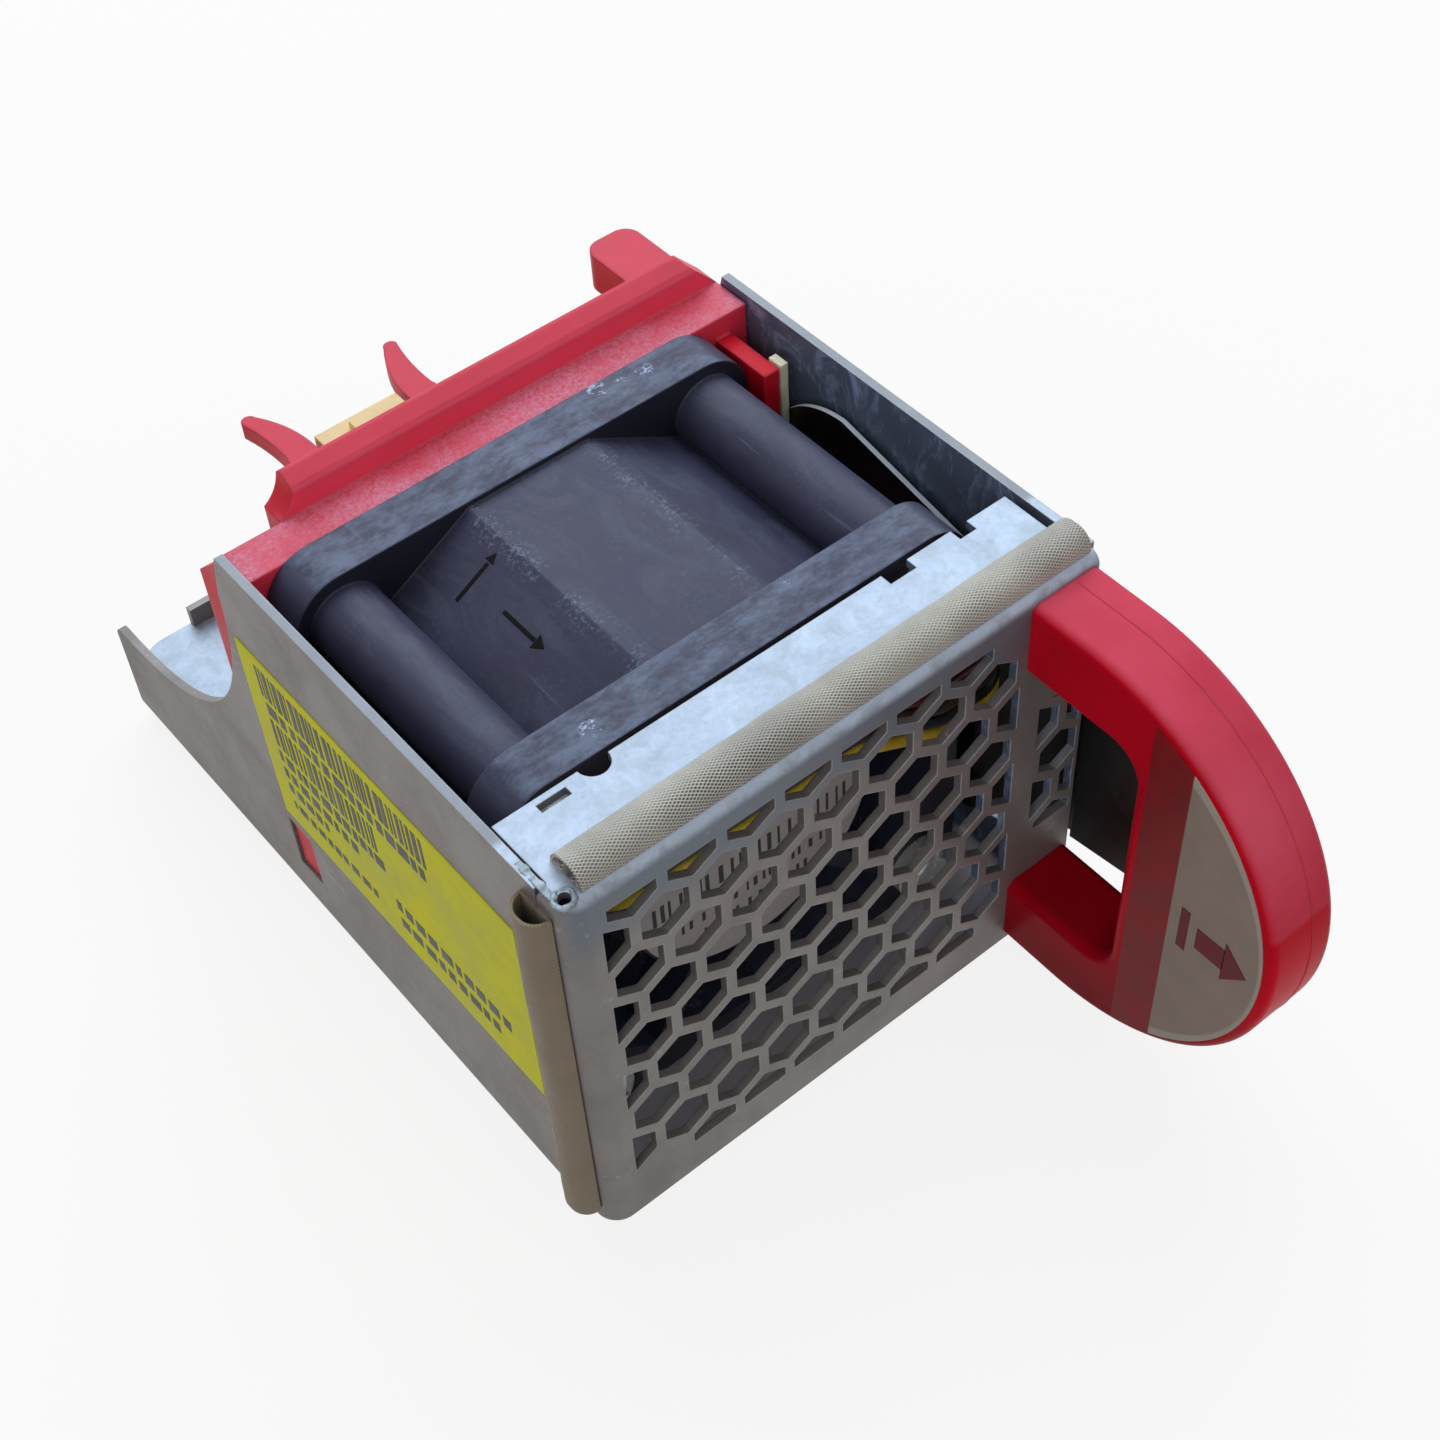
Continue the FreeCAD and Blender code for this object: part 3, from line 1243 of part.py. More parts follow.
def latch():
    mid = S.lever_middle
    shoulder = S.lever_half
    root = S.lever_root_half
    tip = lever_edge(S.tab_front)
    plan = padded("lever_plan", "XY", (mid - shoulder - BEYOND, mid + shoulder + BEYOND), [[
        (A.lever_in, S.lever_rear), (A.lever_in, S.jog_rear),
        (A.tip_in, S.jog_front), (A.tip_in, S.lever_tip),
        (A.tip_in + S.lever_gauge, S.lever_tip), (A.tip_in + S.lever_gauge, S.jog_front + 0.1),
        (A.lever_out, S.jog_rear + 0.1), (A.lever_out, S.lever_rear),
    ]])
    side = padded("lever_side", "YZ", (A.lever_in - BEYOND, A.tip_in + 2 * BEYOND), [[
        (S.tab_front, mid - tip), (S.lever_shoulder, mid - shoulder),
        (S.lever_rear, mid - root, S.lever_round, LEFT), (S.lever_rear, mid + root),
        (S.lever_shoulder, mid + shoulder, S.lever_round, LEFT), (S.tab_front, mid + tip),
    ]])
    leaf = overlap("lever_leaf", plan, side)
    half = S.nose_height / 2
    nose_rear = S.nose_at + S.nose_length
    nose = padded("lever_nose", "XY", (mid - half, mid + half), [[
        (A.lever_out - 0.1, S.nose_at), (A.lever_out + S.nose_reach, S.nose_at),
        (A.lever_out + S.nose_reach, S.nose_at + 0.8), (A.lever_out - 0.1, nose_rear),
    ]])
    rivets = [mid - S.rivet_pitch / 2, mid + S.rivet_pitch / 2]
    holes = [
        rod("lever_hole_%d" % i, "X", (S.rivet_at, z), S.rivet_radius + S.rivet_play,
            (A.lever_in - 1, A.lever_out + 0.2))
        for i, z in enumerate(rivets)
    ]
    keep(cut("lever_whole", fuse("lever_solid", [leaf, nose]), holes), "latch_lever")
    thumb_tab(mid)
    anchor = block("anchor_plate", (A.anchor_in, A.anchor_out), (S.anchor_front, A.fan_rear),
                   (S.anchor_low, S.anchor_high))
    upright_front = A.fan_rear - S.arm_length - S.anchor_gap
    upright = block("anchor_upright", (A.anchor_in, A.anchor_out),
                    (upright_front, upright_front + S.upright_length), (S.anchor_high - 0.5, S.upright_top))
    seats = [
        rod("anchor_hole_%d" % i, "X", (S.rivet_at, z), S.rivet_radius + S.seat_fit,
            (A.anchor_in - 1, A.anchor_out + 1))
        for i, z in enumerate(rivets)
    ]
    keep(cut("anchor_whole", fuse("anchor_solid", [anchor, upright]), seats), "latch_anchor")
    pins = []
    inside = A.anchor_in
    outside = A.lever_out + S.rivet_play
    for i, z in enumerate(rivets):
        spot = (S.rivet_at, z)
        shank = rod("rivet_shank_%d" % i, "X", spot, S.rivet_radius, (inside - 0.1, outside + 0.1))
        inner = rod("rivet_inner_%d" % i, "X", spot, S.rivet_head, (inside - S.rivet_cap, inside))
        outer = rod("rivet_outer_%d" % i, "X", spot, S.rivet_head, (outside, outside + S.rivet_cap))
        pins.append(fuse("rivet_%d" % i, [shank, inner, outer]))
    keep(group("rivet_set", pins), "latch_rivets")


def thumb_tab(mid):
    near = A.tip_in - S.tab_wall
    far = A.tip_in + S.lever_gauge + S.tab_wall
    high = S.tab_half
    low_edge = S.tab_half - (S.tab_rear - S.tab_front) * S.tab_slope
    r = S.tab_round
    plan = padded("tab_plan", "XY", (mid - high - BEYOND, mid + high + BEYOND), [[
        (near, S.tab_rear), (near + S.tab_flare, S.tab_front),
        (far + S.tab_flare, S.tab_front), (far, S.tab_rear),
    ]])
    side = padded("tab_side", "YZ", (near - BEYOND, far + BEYOND), [[
        (S.tab_rear, mid - high), (S.tab_rear, mid + high),
        (S.tab_front + r, mid + low_edge + r * S.tab_slope),
        (S.tab_front, mid + low_edge - r, r * 1.2, LEFT), (S.tab_front, mid - low_edge + r),
        (S.tab_front + r, mid - low_edge - r * S.tab_slope, r * 1.2, LEFT),
    ]])
    slot = block("tab_slot", (A.tip_in - S.tab_play, A.tip_in + S.lever_gauge + S.tab_play),
                 (S.lever_tip - S.tab_play, S.tab_rear + BEYOND), (mid - high - BEYOND, mid + high + BEYOND))
    keep(cut("tab_whole", overlap("tab_solid", plan, side), [slot]), "latch_tab")


def write_out():
    doc.recompute()
    for thing in doc.Objects:
        if "Invalid" in thing.State or "Error" in thing.State:
            raise RuntimeError("%s did not build: %s" % (thing.Name, thing.State))
    os.makedirs("parts", exist_ok=True)
    for label, thing in nodes:
        shape = thing.Shape
        if shape.isNull() or not shape.isValid() or not shape.Solids:
            raise RuntimeError("%s has no valid solid" % label)
        shape.exportStep("parts/%s.step" % label)
        print("%-20s %2d solids %9.2f mm3" % (label, len(shape.Solids), shape.Volume))


S = fill_sheet()
A = lay_out()
tray()
front_plate()
gaskets()
fan_frame()
motor()
rotor()
screws()
rear_bracket()
connector()
leads()
handle()
side_label()
latch()
write_out()
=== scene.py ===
import math
import random

import bpy
from bpy.props import FloatProperty, FloatVectorProperty, IntProperty, PointerProperty
from mathutils import Euler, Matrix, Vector


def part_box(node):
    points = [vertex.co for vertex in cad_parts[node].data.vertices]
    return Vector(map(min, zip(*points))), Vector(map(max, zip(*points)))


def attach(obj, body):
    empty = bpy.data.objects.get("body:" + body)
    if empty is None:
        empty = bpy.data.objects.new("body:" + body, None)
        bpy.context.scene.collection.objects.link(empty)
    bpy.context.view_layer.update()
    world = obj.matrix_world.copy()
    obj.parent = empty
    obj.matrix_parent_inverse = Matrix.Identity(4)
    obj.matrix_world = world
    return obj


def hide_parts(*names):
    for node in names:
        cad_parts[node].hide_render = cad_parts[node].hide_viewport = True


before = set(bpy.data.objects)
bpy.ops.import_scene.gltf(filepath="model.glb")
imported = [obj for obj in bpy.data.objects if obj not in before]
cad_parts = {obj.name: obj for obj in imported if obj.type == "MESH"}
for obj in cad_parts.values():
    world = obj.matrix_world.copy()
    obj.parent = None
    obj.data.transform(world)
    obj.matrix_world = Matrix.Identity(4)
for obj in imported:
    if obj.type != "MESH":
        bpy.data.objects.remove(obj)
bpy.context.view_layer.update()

bl_info = {
    "name": "Fan module looks",
    "version": (1, 0, 0),
    "blender": (4, 5, 0),
    "location": "3D View > Sidebar > Fan module",
    "description": "Finishes, gaskets and prints for the plug-in fan module",
    "category": "Object",
}

MM = 0.001
MODULE = "module"
HAIR = 1e-6
# the fan's barrel: how many facets, how far it reaches from the axis, its flats and the marked one's tilt
FACETS = 12
BARREL_REACH = 20.6
BARREL_FLAT = 19.5
MARKED_TILT = math.radians(30)
# edges between finishes in the module's frame, in millimetres
LEDGE_REAR = 41.5
PLENUM_REAR = 12.0
WALL_INSIDE = 22.15
BAND_EDGE = -15.08
# steps along a gasket and round its crest
GASKET_CUTS = 70
GASKET_STEPS = 7
# chipped places on the fan's flanges: centre and radius in millimetres
CHIPS = (
    ((7.4, 36.2, 40.8), 0.9), ((9.6, 36.0, 40.8), 0.7), ((11.2, 35.6, 40.8), 0.8),
    ((5.3, 12.2, 40.8), 0.7), ((-12.6, 10.6, 40.8), 0.9),
)
# rows on the side label: from and to along y, from and to in height, bar widths, gaps, in millimetres
LABEL_ROWS = (
    ((17.0, 38.0), (28.5, 31.8), (0.18, 0.6), (0.14, 0.42)),
    ((17.5, 38.0), (26.6, 27.9), (0.6, 1.6), (0.25, 0.55)),
    ((24.5, 38.0), (23.0, 26.0), (0.18, 0.6), (0.14, 0.42)),
    ((24.0, 38.0), (21.2, 22.4), (0.5, 1.3), (0.25, 0.5)),
    ((28.0, 38.0), (19.3, 20.4), (0.5, 1.3), (0.25, 0.5)),
    ((9.3, 23.5), (17.5, 18.7), (0.6, 1.4), (0.25, 0.5)),
    ((32.5, 38.0), (17.5, 18.5), (0.5, 1.2), (0.25, 0.5)),
    ((11.0, 23.5), (15.4, 16.5), (0.6, 1.4), (0.25, 0.5)),
    ((26.5, 38.0), (15.4, 16.3), (0.5, 1.2), (0.25, 0.5)),
)
# rows on the hub's disc: height from its middle, bar height and half the row, in millimetres
HUB_ROWS = ((4.2, 1.3, 7.4), (-0.9, 2.0, 9.4), (-4.4, 1.0, 7.0), (-6.4, 1.0, 5.0))
HUB_WIDTHS = (0.2, 0.42)
HUB_GAPS = (0.3, 0.9)
# the pull arrow's shaft and tail (y, z, spans) and its head (y, z, radius), in millimetres
PULL_BLOCKS = ((-18.8, 21.35, 2.5, 2.3), (-16.4, 21.2, 0.8, 4.4))
PULL_HEAD = (-20.7, 21.25, 1.4)
PULL_HEAD_STRETCH = (1.77, 1.0)
# arrows on the fan: shaft (across, along, spans), head (across, along, radius) in millimetres, heading
FAN_ARROWS = (
    ((1.6, 28.3, 3.4, 0.34), (3.7, 28.3, 0.55), -math.pi / 2),
    ((1.6, 22.8, 0.34, 3.6), (1.6, 20.6, 0.7), math.pi),
)
# studio lamps: name, place and size in metres, power and tint; what they are aimed at
LAMPS = (
    ("sky", (0.30, 0.48, 0.62), 0.9, 7.0, (0.80, 0.90, 1.0)),
    ("fill", (-0.75, -0.45, 0.40), 0.8, 2.0, (1.0, 0.95, 0.90)),
    ("front", (0.30, -0.85, 0.45), 0.7, 1.35, (1.0, 0.96, 0.92)),
)
LAMP_AIM = (0, 0.025, 0.02)
FLOOR_LEVEL = -0.0002
SENSOR = 36
NEAREST = 0.005


def length(name, description, millimetres):
    """A length property, given in millimetres."""
    return FloatProperty(
        name=name, description=description, default=millimetres * MM, unit="LENGTH", precision=5)


def colour(name, description, rgb):
    """A colour property."""
    return FloatVectorProperty(
        name=name, description=description, default=rgb, size=3, min=0, max=1, subtype="COLOR")


class FanModuleSizes(bpy.types.PropertyGroup):
    """Sizes of what is added to the bare module."""

    sheet_edge: length("Sheet edge", "Rounding of cut sheet edges", 0.14)
    plastic_edge: length("Plastic edge", "Rounding of the fan's edges", 0.25)
    moulded_edge: length("Moulded edge", "Rounding of the red mouldings' edges", 0.35)
    grain_top: length("Grain top", "Height that the bracket's pale grain reaches", 41.2)
    weave_along: length("Weave along", "Thread pitch along the gaskets", 0.42)
    weave_across: length("Weave across", "Thread pitch round the gaskets", 0.28)
    weave_radius: length("Weave radius", "Mean radius of the gaskets' cloth", 1.8)
    gasket_round: length("Gasket round", "Corner radius of the gaskets", 1.4)
    gasket_wall: length("Gasket wall", "Thickness of the gasket fabric", 0.22)
    gasket_swell: length("Gasket swell", "Unevenness of the gasket fabric", 0.3)
    foam_setback: length("Foam setback", "How far the foam lies inside the gasket ends", 2.2)
    curl_ring: length("Curl ring", "Radius of the curled plate corner", 0.66)
    curl_lip: length("Curl lip", "Thickness of the curled plate corner", 0.22)
    ink: length("Ink", "Thickness of printed marks", 0.02)
    seam: length("Seam", "Radius of the handle's mould seam", 0.09)
    seam_at: length("Seam place", "Place of the mould seam across the handle", 19.9)
    camera_at: FloatVectorProperty(
        name="Camera place", description="Where the camera stands",
        default=(-0.06099, -0.06886, 0.14915), size=3, unit="LENGTH", subtype="TRANSLATION")
    camera_turn: FloatVectorProperty(
        name="Camera turn", description="How the camera is turned",
        default=tuple(math.radians(a) for a in (40.488, 2.510, -39.353)), size=3, subtype="EULER")
    lens: FloatProperty(name="Lens", description="Focal length on a 36 mm sensor", default=56.23)
    floor: FloatProperty(
        name="Floor", description="Side of the floor under the module", default=3.0, unit="LENGTH")
    bars_seed: IntProperty(name="Bars", description="Seed of the printed bars", default=11)


class FanModuleColours(bpy.types.PropertyGroup):
    """Colours of the module's finishes."""

    # Painted light and shade: the zinc colour is the sheet made brighter and bluer as if lit by the sky,
    # the wall colour the same sheet made darker and warmer as if in shade.
    zinc: colour("Zinc", "Clean zinc coating on the flange and floor", (0.38, 0.45, 0.55))
    wall: colour("Wall", "Dull coating on the walls and the grille", (0.235, 0.215, 0.205))
    # Painted shade with a bluish painted reflection, for the inside of the right wall.
    inner_wall_shade: colour("Inner wall", "Inside of the right wall", (0.12, 0.155, 0.235))
    tarnish: colour("Tarnish", "Duller patches of the clean coating", (0.27, 0.33, 0.37))
    plate_top: colour("Plate top", "Coating near the plate's top bend", (0.138, 0.163, 0.20))
    # Painted light: a near-white floor tone between the grille and the fan, where little light reaches.
    plenum_light: colour("Plenum", "Floor between the grille and the fan", (0.85, 0.83, 0.90))
    stain: colour("Stain", "Handling stains on the walls", (0.15, 0.135, 0.12))
    # Painted light: the anchor's warm cream is raised close to white so its shaded front face still looks
    # bright; the warm hue is its own colour.
    anchor: colour("Anchor", "Latch anchor's warm plating", (1.0, 0.90, 0.62))
    bare_edge: colour("Bare edge", "Cut edges of sheet", (0.50, 0.51, 0.53))
    thread: colour("Thread", "Gasket threads", (0.58, 0.55, 0.48))
    thread_gap: colour("Thread gap", "Gaps between gasket threads", (0.022, 0.020, 0.016))
    side_thread: colour("Side thread", "Threads of the side gasket", (0.245, 0.185, 0.115))
    foam: colour("Foam", "Gasket foam", (0.055, 0.05, 0.045))
    fan: colour("Fan", "Fan plastic", (0.040, 0.040, 0.078))
    flange: colour("Flange", "Rubbed tops of the fan's flanges", (0.13, 0.16, 0.24))
    scuff: colour("Scuff", "Scuffs on the fan", (0.15, 0.17, 0.23))
    red: colour("Red", "Moulded red plastic", (0.74, 0.004, 0.022))
    # Worn red and painted sheen: this paler red serves the scuffs and worn edges and also the painted sheen
    # of upward faces.
    worn_and_sheen_red: colour("Worn red", "Rubbed red plastic", (0.80, 0.20, 0.30))
    chalk: colour("Chalk", "Pale grain on the bracket's ledge", (0.74, 0.38, 0.52))
    # Painted light: a brighter red for the bracket's front faces.
    lit_red: colour("Lit red", "Cleaner red of the bracket's front faces", (1.0, 0.085, 0.16))
    band: colour("Band", "Dark band of the handle label", (0.28, 0.010, 0.014))
    panel: colour("Panel", "Silver field of the handle label", (0.385, 0.295, 0.24))
    # Painted highlight along the rim of the handle label's field.
    panel_rim_highlight: colour("Panel rim", "Pale rim of the handle label", (0.56, 0.52, 0.43))
    arrow: colour("Arrow", "Pull arrow", (0.17, 0.010, 0.015))
    yellow: colour("Yellow", "Side label", (0.95, 0.91, 0.025))
    ink: colour("Ink", "Printed marks", (0.018, 0.017, 0.010))
    silver: colour("Silver", "Hub label foil", (0.70, 0.65, 0.64))
    cream: colour("Cream", "Plug housing", (0.88, 0.63, 0.29))
    black: colour("Black", "Lever and thumb tab", (0.006, 0.005, 0.006))
    steel: colour("Steel", "Screws, bearings and shaft", (0.62, 0.62, 0.63))
    brass: colour("Brass", "Plug contacts", (0.72, 0.52, 0.20))
    copper: colour("Copper", "Motor windings", (0.55, 0.22, 0.09))
    board: colour("Board", "Motor circuit board", (0.02, 0.16, 0.06))
    ferrite: colour("Ferrite", "Ring magnet", (0.06, 0.06, 0.065))
    core: colour("Core", "Motor laminations", (0.24, 0.24, 0.25))
    lead_yellow: colour("Yellow lead", "First lead", (0.80, 0.60, 0.03))
    lead_black: colour("Black lead", "Second lead", (0.012, 0.012, 0.012))
    lead_brown: colour("Brown lead", "Third lead", (0.045, 0.022, 0.012))
    lead_red: colour("Red lead", "Fourth lead", (0.11, 0.010, 0.010))
    floor: colour("Floor", "Studio floor", (0.92, 0.86, 0.79))


def sizes():
    """The scene's sizes."""
    return bpy.context.scene.fan_module_sizes


def colours():
    """The scene's colours."""
    return bpy.context.scene.fan_module_colours


def toned(rgb, factor):
    """A colour made lighter or darker."""
    return tuple(min(1.0, channel * factor) for channel in rgb)


class Finish:
    """One procedural material. Its pattern sizes are in millimetres."""

    def __init__(self, name, edge=0.0, **constants):
        self.material = bpy.data.materials.new(name)
        self.material.use_nodes = True
        self.tree = self.material.node_tree
        self.shader = self.tree.nodes["Principled BSDF"]
        for socket, value in constants.items():
            self.feed(self.shader.inputs[socket.replace("_", " ").title().replace("Ior", "IOR")], value)
        self.coordinates = self.add("TexCoord")
        self.millimetres = self.mapped()
        self.soft = None
        if edge:
            rounding = self.add("Bevel", samples=6)
            rounding.inputs["Radius"].default_value = edge
            self.soft = rounding.outputs[0]

    def add(self, kind, **settings):
        node = self.tree.nodes.new("ShaderNode" + kind)
        for key, value in settings.items():
            setattr(node, key, value)
        return node

    def feed(self, socket, value):
        if isinstance(value, bpy.types.NodeSocket):
            self.tree.links.new(value, socket)
        elif socket.type == "RGBA":
            socket.default_value = (*value, 1.0)
        else:
            socket.default_value = value

    def mapped(self, stretch=(1, 1, 1), turn=(0, 0, 0)):
        """Object coordinates in millimetres, stretched and turned."""
        node = self.add("Mapping")
        node.inputs["Scale"].default_value = tuple(part / MM for part in stretch)
        node.inputs["Rotation"].default_value = turn
        self.feed(node.inputs["Vector"], self.coordinates.outputs["Object"])
        return node.outputs["Vector"]

    def noise(self, size, detail=3.0, rough=0.55, vector=None, distortion=0.0):
        node = self.add("TexNoise")
        self.feed(node.inputs["Vector"], vector or self.millimetres)
        node.inputs["Scale"].default_value = 1 / size
        node.inputs["Detail"].default_value = detail
        node.inputs["Roughness"].default_value = rough
        node.inputs["Distortion"].default_value = distortion
        return node.outputs[0]

    def cells(self, size, vector=None, output="Color"):
        node = self.add("TexVoronoi")
        self.feed(node.inputs["Vector"], vector or self.millimetres)
        node.inputs["Scale"].default_value = 1 / size
        if output != "Color":
            return node.outputs[output]
        split = self.add("SeparateColor")
        self.feed(split.inputs[0], node.outputs["Color"])
        return split.outputs[0]

    def remap(self, value, low, high, to_low=0.0, to_high=1.0):
        node = self.add("MapRange")
        for socket, number in zip(node.inputs[1:5], (low, high, to_low, to_high)):
            socket.default_value = number
        self.feed(node.inputs[0], value)
        return node.outputs[0]

    def maths(self, operation, first, second=0.0):
        node = self.add("Math", operation=operation)
        self.feed(node.inputs[0], first)
        self.feed(node.inputs[1], second)
        return node.outputs[0]

    def times(self, first, second):
        return self.maths("MULTIPLY", first, second)

    def mix(self, factor, first, second):
        node = self.add("Mix", data_type="RGBA")
        self.feed(node.inputs[0], factor)
        self.feed(node.inputs[6], first)
        self.feed(node.inputs[7], second)
        return node.outputs[2]

    def along(self, direction, vector=None):
        node = self.add("VectorMath", operation="DOT_PRODUCT")
        self.feed(node.inputs[0], vector or self.millimetres)
        node.inputs[1].default_value = direction
        return node.outputs["Value"]

    def facing(self, direction, low=0.4, high=0.9):
        """1 on surfaces that face a direction of the piece's own frame."""
        return self.remap(self.along(direction, self.coordinates.outputs["Normal"]), low, high)

    def edges(self):
        """1 along the edges that the finish rounds."""
        plain = self.add("NewGeometry")
        node = self.add("VectorMath", operation="DOT_PRODUCT")
        self.feed(node.inputs[0], self.soft)
        self.feed(node.inputs[1], plain.outputs["Normal"])
        return self.remap(node.outputs["Value"], 0.98, 0.75)

    def spot(self, centre, radius):
        """1 in a ragged patch about a point."""
        node = self.add("VectorMath", operation="DISTANCE")
        self.feed(node.inputs[0], self.millimetres)
        node.inputs[1].default_value = centre
        frayed = self.maths("ADD", node.outputs["Value"], self.times(self.noise(0.5, 4, 0.7), radius))
        return self.remap(frayed, radius * 1.5, radius * 1.3)

    def bump(self, height, depth, under=None):
        node = self.add("Bump")
        node.inputs["Distance"].default_value = depth * MM
        self.feed(node.inputs["Height"], height)
        under = under or self.soft
        if under is not None:
            self.feed(node.inputs["Normal"], under)
        return node.outputs["Normal"]

    def use(self, **sockets):
        names = {"base": "Base Color", "roughness": "Roughness", "normal": "Normal"}
        for key, value in sockets.items():
            self.feed(self.shader.inputs[names[key]], value)
        return self.material


def sheet_finish():
    """Zinc-coated steel: frosty where it lies flat, dull and stained on the upright walls. The flats'
    brighter, bluer tone is painted sky light and the walls' darker, warmer tone is painted shade.
    """
    c = colours()
    f = Finish("zinc_sheet", sizes().sheet_edge, metallic=0.35)
    rise = f.along((0, 0, 1))
    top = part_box("front_plate")[1].z / MM
    flat = f.maths("MAXIMUM", f.remap(rise, top - 0.3, top - 0.1), f.remap(rise, 1.3, 1.0))
    up = f.times(f.facing((0, 0, 1)), flat)
    spangle = f.cells(1.4, f.mapped((1, 1, 1), (0.3, 0.2, 0.5)))
    grain = f.noise(0.5, 5, 0.75)
    sky_lit_frost = f.mix(f.remap(grain, 0.36, 0.64), toned(c.zinc, 0.80), toned(c.zinc, 1.08))
    sky_lit_frost = f.mix(f.times(spangle, 0.35), sky_lit_frost, toned(c.zinc, 1.25))
    rubbed = f.remap(f.noise(2.6, 6, 0.72, distortion=0.6), 0.47, 0.64)
    sky_lit_frost = f.mix(f.times(rubbed, 0.55), sky_lit_frost, c.tarnish)
    cloud = f.remap(f.noise(7.0, 5, 0.6), 0.42, 0.68)
    dull = f.mix(cloud, c.wall, toned(c.wall, 0.84))
    stained = f.remap(f.noise(14.0, 6, 0.7, distortion=1.5), 0.56, 0.78)
    dull = f.mix(f.times(stained, 0.8), dull, c.stain)
    fleck = f.remap(f.noise(0.6, 3, 0.6), 0.69, 0.74)
    dull = f.mix(f.times(fleck, 0.7), dull, toned(c.bare_edge, 0.8))
    pit = f.remap(f.noise(0.9, 4, 0.7, f.mapped((1, 1, 1), (1.1, 0.4, 0.8))), 0.70, 0.75)
    dull = f.mix(f.times(pit, 0.5), dull, toned(c.stain, 0.6))
    upper = f.times(f.facing((0, -1, 0)), f.remap(rise, top - 7.0, top - 3.5))
    dull = f.mix(f.times(upper, f.remap(cloud, 0.0, 1.0, 1.0, 0.6)), dull, c.plate_top)
    # Left-facing walls turn darker towards the bottom, in the stain colour.
    height = f.remap(rise, 0.0, 28.0, 0.8, 0.0)
    dull = f.mix(f.times(f.facing((-1, 0, 0)), height), dull, c.stain)
    aside = f.along((1, 0, 0))
    # Painted shade and bluish painted reflection on faces inside the right wall, broken by lighter smudges.
    inside = f.times(f.facing((-1, 0, 0)), f.remap(aside, 10.0, 12.0))
    smudge = f.remap(f.noise(3.0, 6, 0.7, f.mapped((1, 1, 0.6), (0.5, 0, 0)), 0.8), 0.50, 0.70)
    dull = f.mix(inside, dull, f.mix(smudge, c.inner_wall_shade, toned(c.inner_wall_shade, 3.2)))
    # Painted light: the floor between the grille and the fan is brightened.
    plenum_light = f.times(f.remap(rise, 1.3, 1.0), f.remap(f.along((0, 1, 0)), PLENUM_REAR, PLENUM_REAR - 1.0))
    sky_lit_frost = f.mix(plenum_light, sky_lit_frost, c.plenum_light)
    # Painted light and shade: up-facing flats take the brighter, bluer frosty tone, upright faces the
    # darker, warmer dull one.
    tone = f.mix(up, dull, sky_lit_frost)
    # Painted sky light on the plate's top bend, which turns the clean zinc colour.
    bend = f.times(f.facing((0, -0.707, 0.707), 0.72, 0.95), f.remap(rise, top - 3.0, top - 2.0))
    tone = f.mix(f.times(bend, f.remap(rubbed, 0.0, 1.0, 0.75, 0.3)), tone, c.zinc)
    wall_top = f.remap(f.maths("ABSOLUTE", aside), WALL_INSIDE - 0.1, WALL_INSIDE + 0.1)
    wall_top = f.times(f.times(wall_top, up), f.remap(f.along((0, 1, 0)), 6.6, 7.2))
    tone = f.mix(f.times(wall_top, 0.8), tone, toned(c.bare_edge, 0.34))
    scratch = f.remap(f.noise(1.1, 3, 0.6, f.mapped((1, 0.06, 1), (0.5, 0.1, 0.25))), 0.66, 0.72)
    tone = f.mix(f.times(scratch, 0.22), tone, c.bare_edge)
    tone = f.mix(f.times(f.edges(), 0.75), tone, c.bare_edge)
    rough = f.remap(f.maths("ADD", f.times(grain, 0.7), f.times(cloud, 0.3)), 0.2, 0.8, 0.42, 0.62)
    dents = f.bump(f.noise(9.0, 2, 0.5), 0.10)
    return f.use(base=tone, roughness=rough, normal=f.bump(grain, 0.016, dents))


def fabric_finish(name, node, thread, run, out, contrast):
    """Conductive cloth: a fine diagonal mesh of threads over darker gaps, laid round a gasket."""
    c = colours()
    s = sizes()
    f = Finish(name, metallic=0.2, sheen_weight=0.2)
    low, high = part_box(node)
    across = 3 - run - out
    axes = [tuple(float(i == axis) for i in range(3)) for axis in range(3)]
    leftwards = out == 0
    base = (high if leftwards else low)[out] / MM
    height = f.maths("SUBTRACT", f.along(axes[out]), base)
    height = f.times(height, -1.0 if leftwards else 1.0)
    sideways = f.maths("SUBTRACT", f.along(axes[across]), (low[across] + high[across]) / 2 / MM)
    angle = f.maths("ARCTAN2", sideways, height)
    lengthways = f.along(tuple(part * MM / s.weave_along for part in axes[run]))
    girth = f.times(angle, s.weave_radius / s.weave_across)
    wander = f.times(f.noise(3.5, 2, 0.5), 0.7)
    one = f.maths("PINGPONG", f.maths("ADD", f.maths("ADD", lengthways, girth), wander), 0.5)
    two = f.maths("PINGPONG", f.maths("SUBTRACT", f.maths("SUBTRACT", lengthways, girth), wander), 0.5)
    mesh = f.maths("MAXIMUM", one, two)
    open_weave = f.remap(mesh, 0.40, 0.24)
    worn = f.noise(5.0, 4, 0.6)
    tone = f.mix(f.remap(worn, 0.35, 0.7), toned(thread, 0.82), toned(thread, 1.15))
    crisp = f.remap(angle, 0.3, -0.5, 0.3, 1.0)
    shown = f.times(f.remap(f.noise(9.0, 3, 0.5), 0.36, 0.60, contrast * 0.55, contrast), crisp)
    cloth = f.mix(f.times(open_weave, shown), tone, c.thread_gap)
    rough = f.remap(worn, 0.3, 0.7, 0.5, 0.72)
    soft = f.bump(f.noise(2.6, 3, 0.5), 0.12)
    return f.use(base=cloth, roughness=rough, normal=f.bump(mesh, 0.16 * contrast, soft))


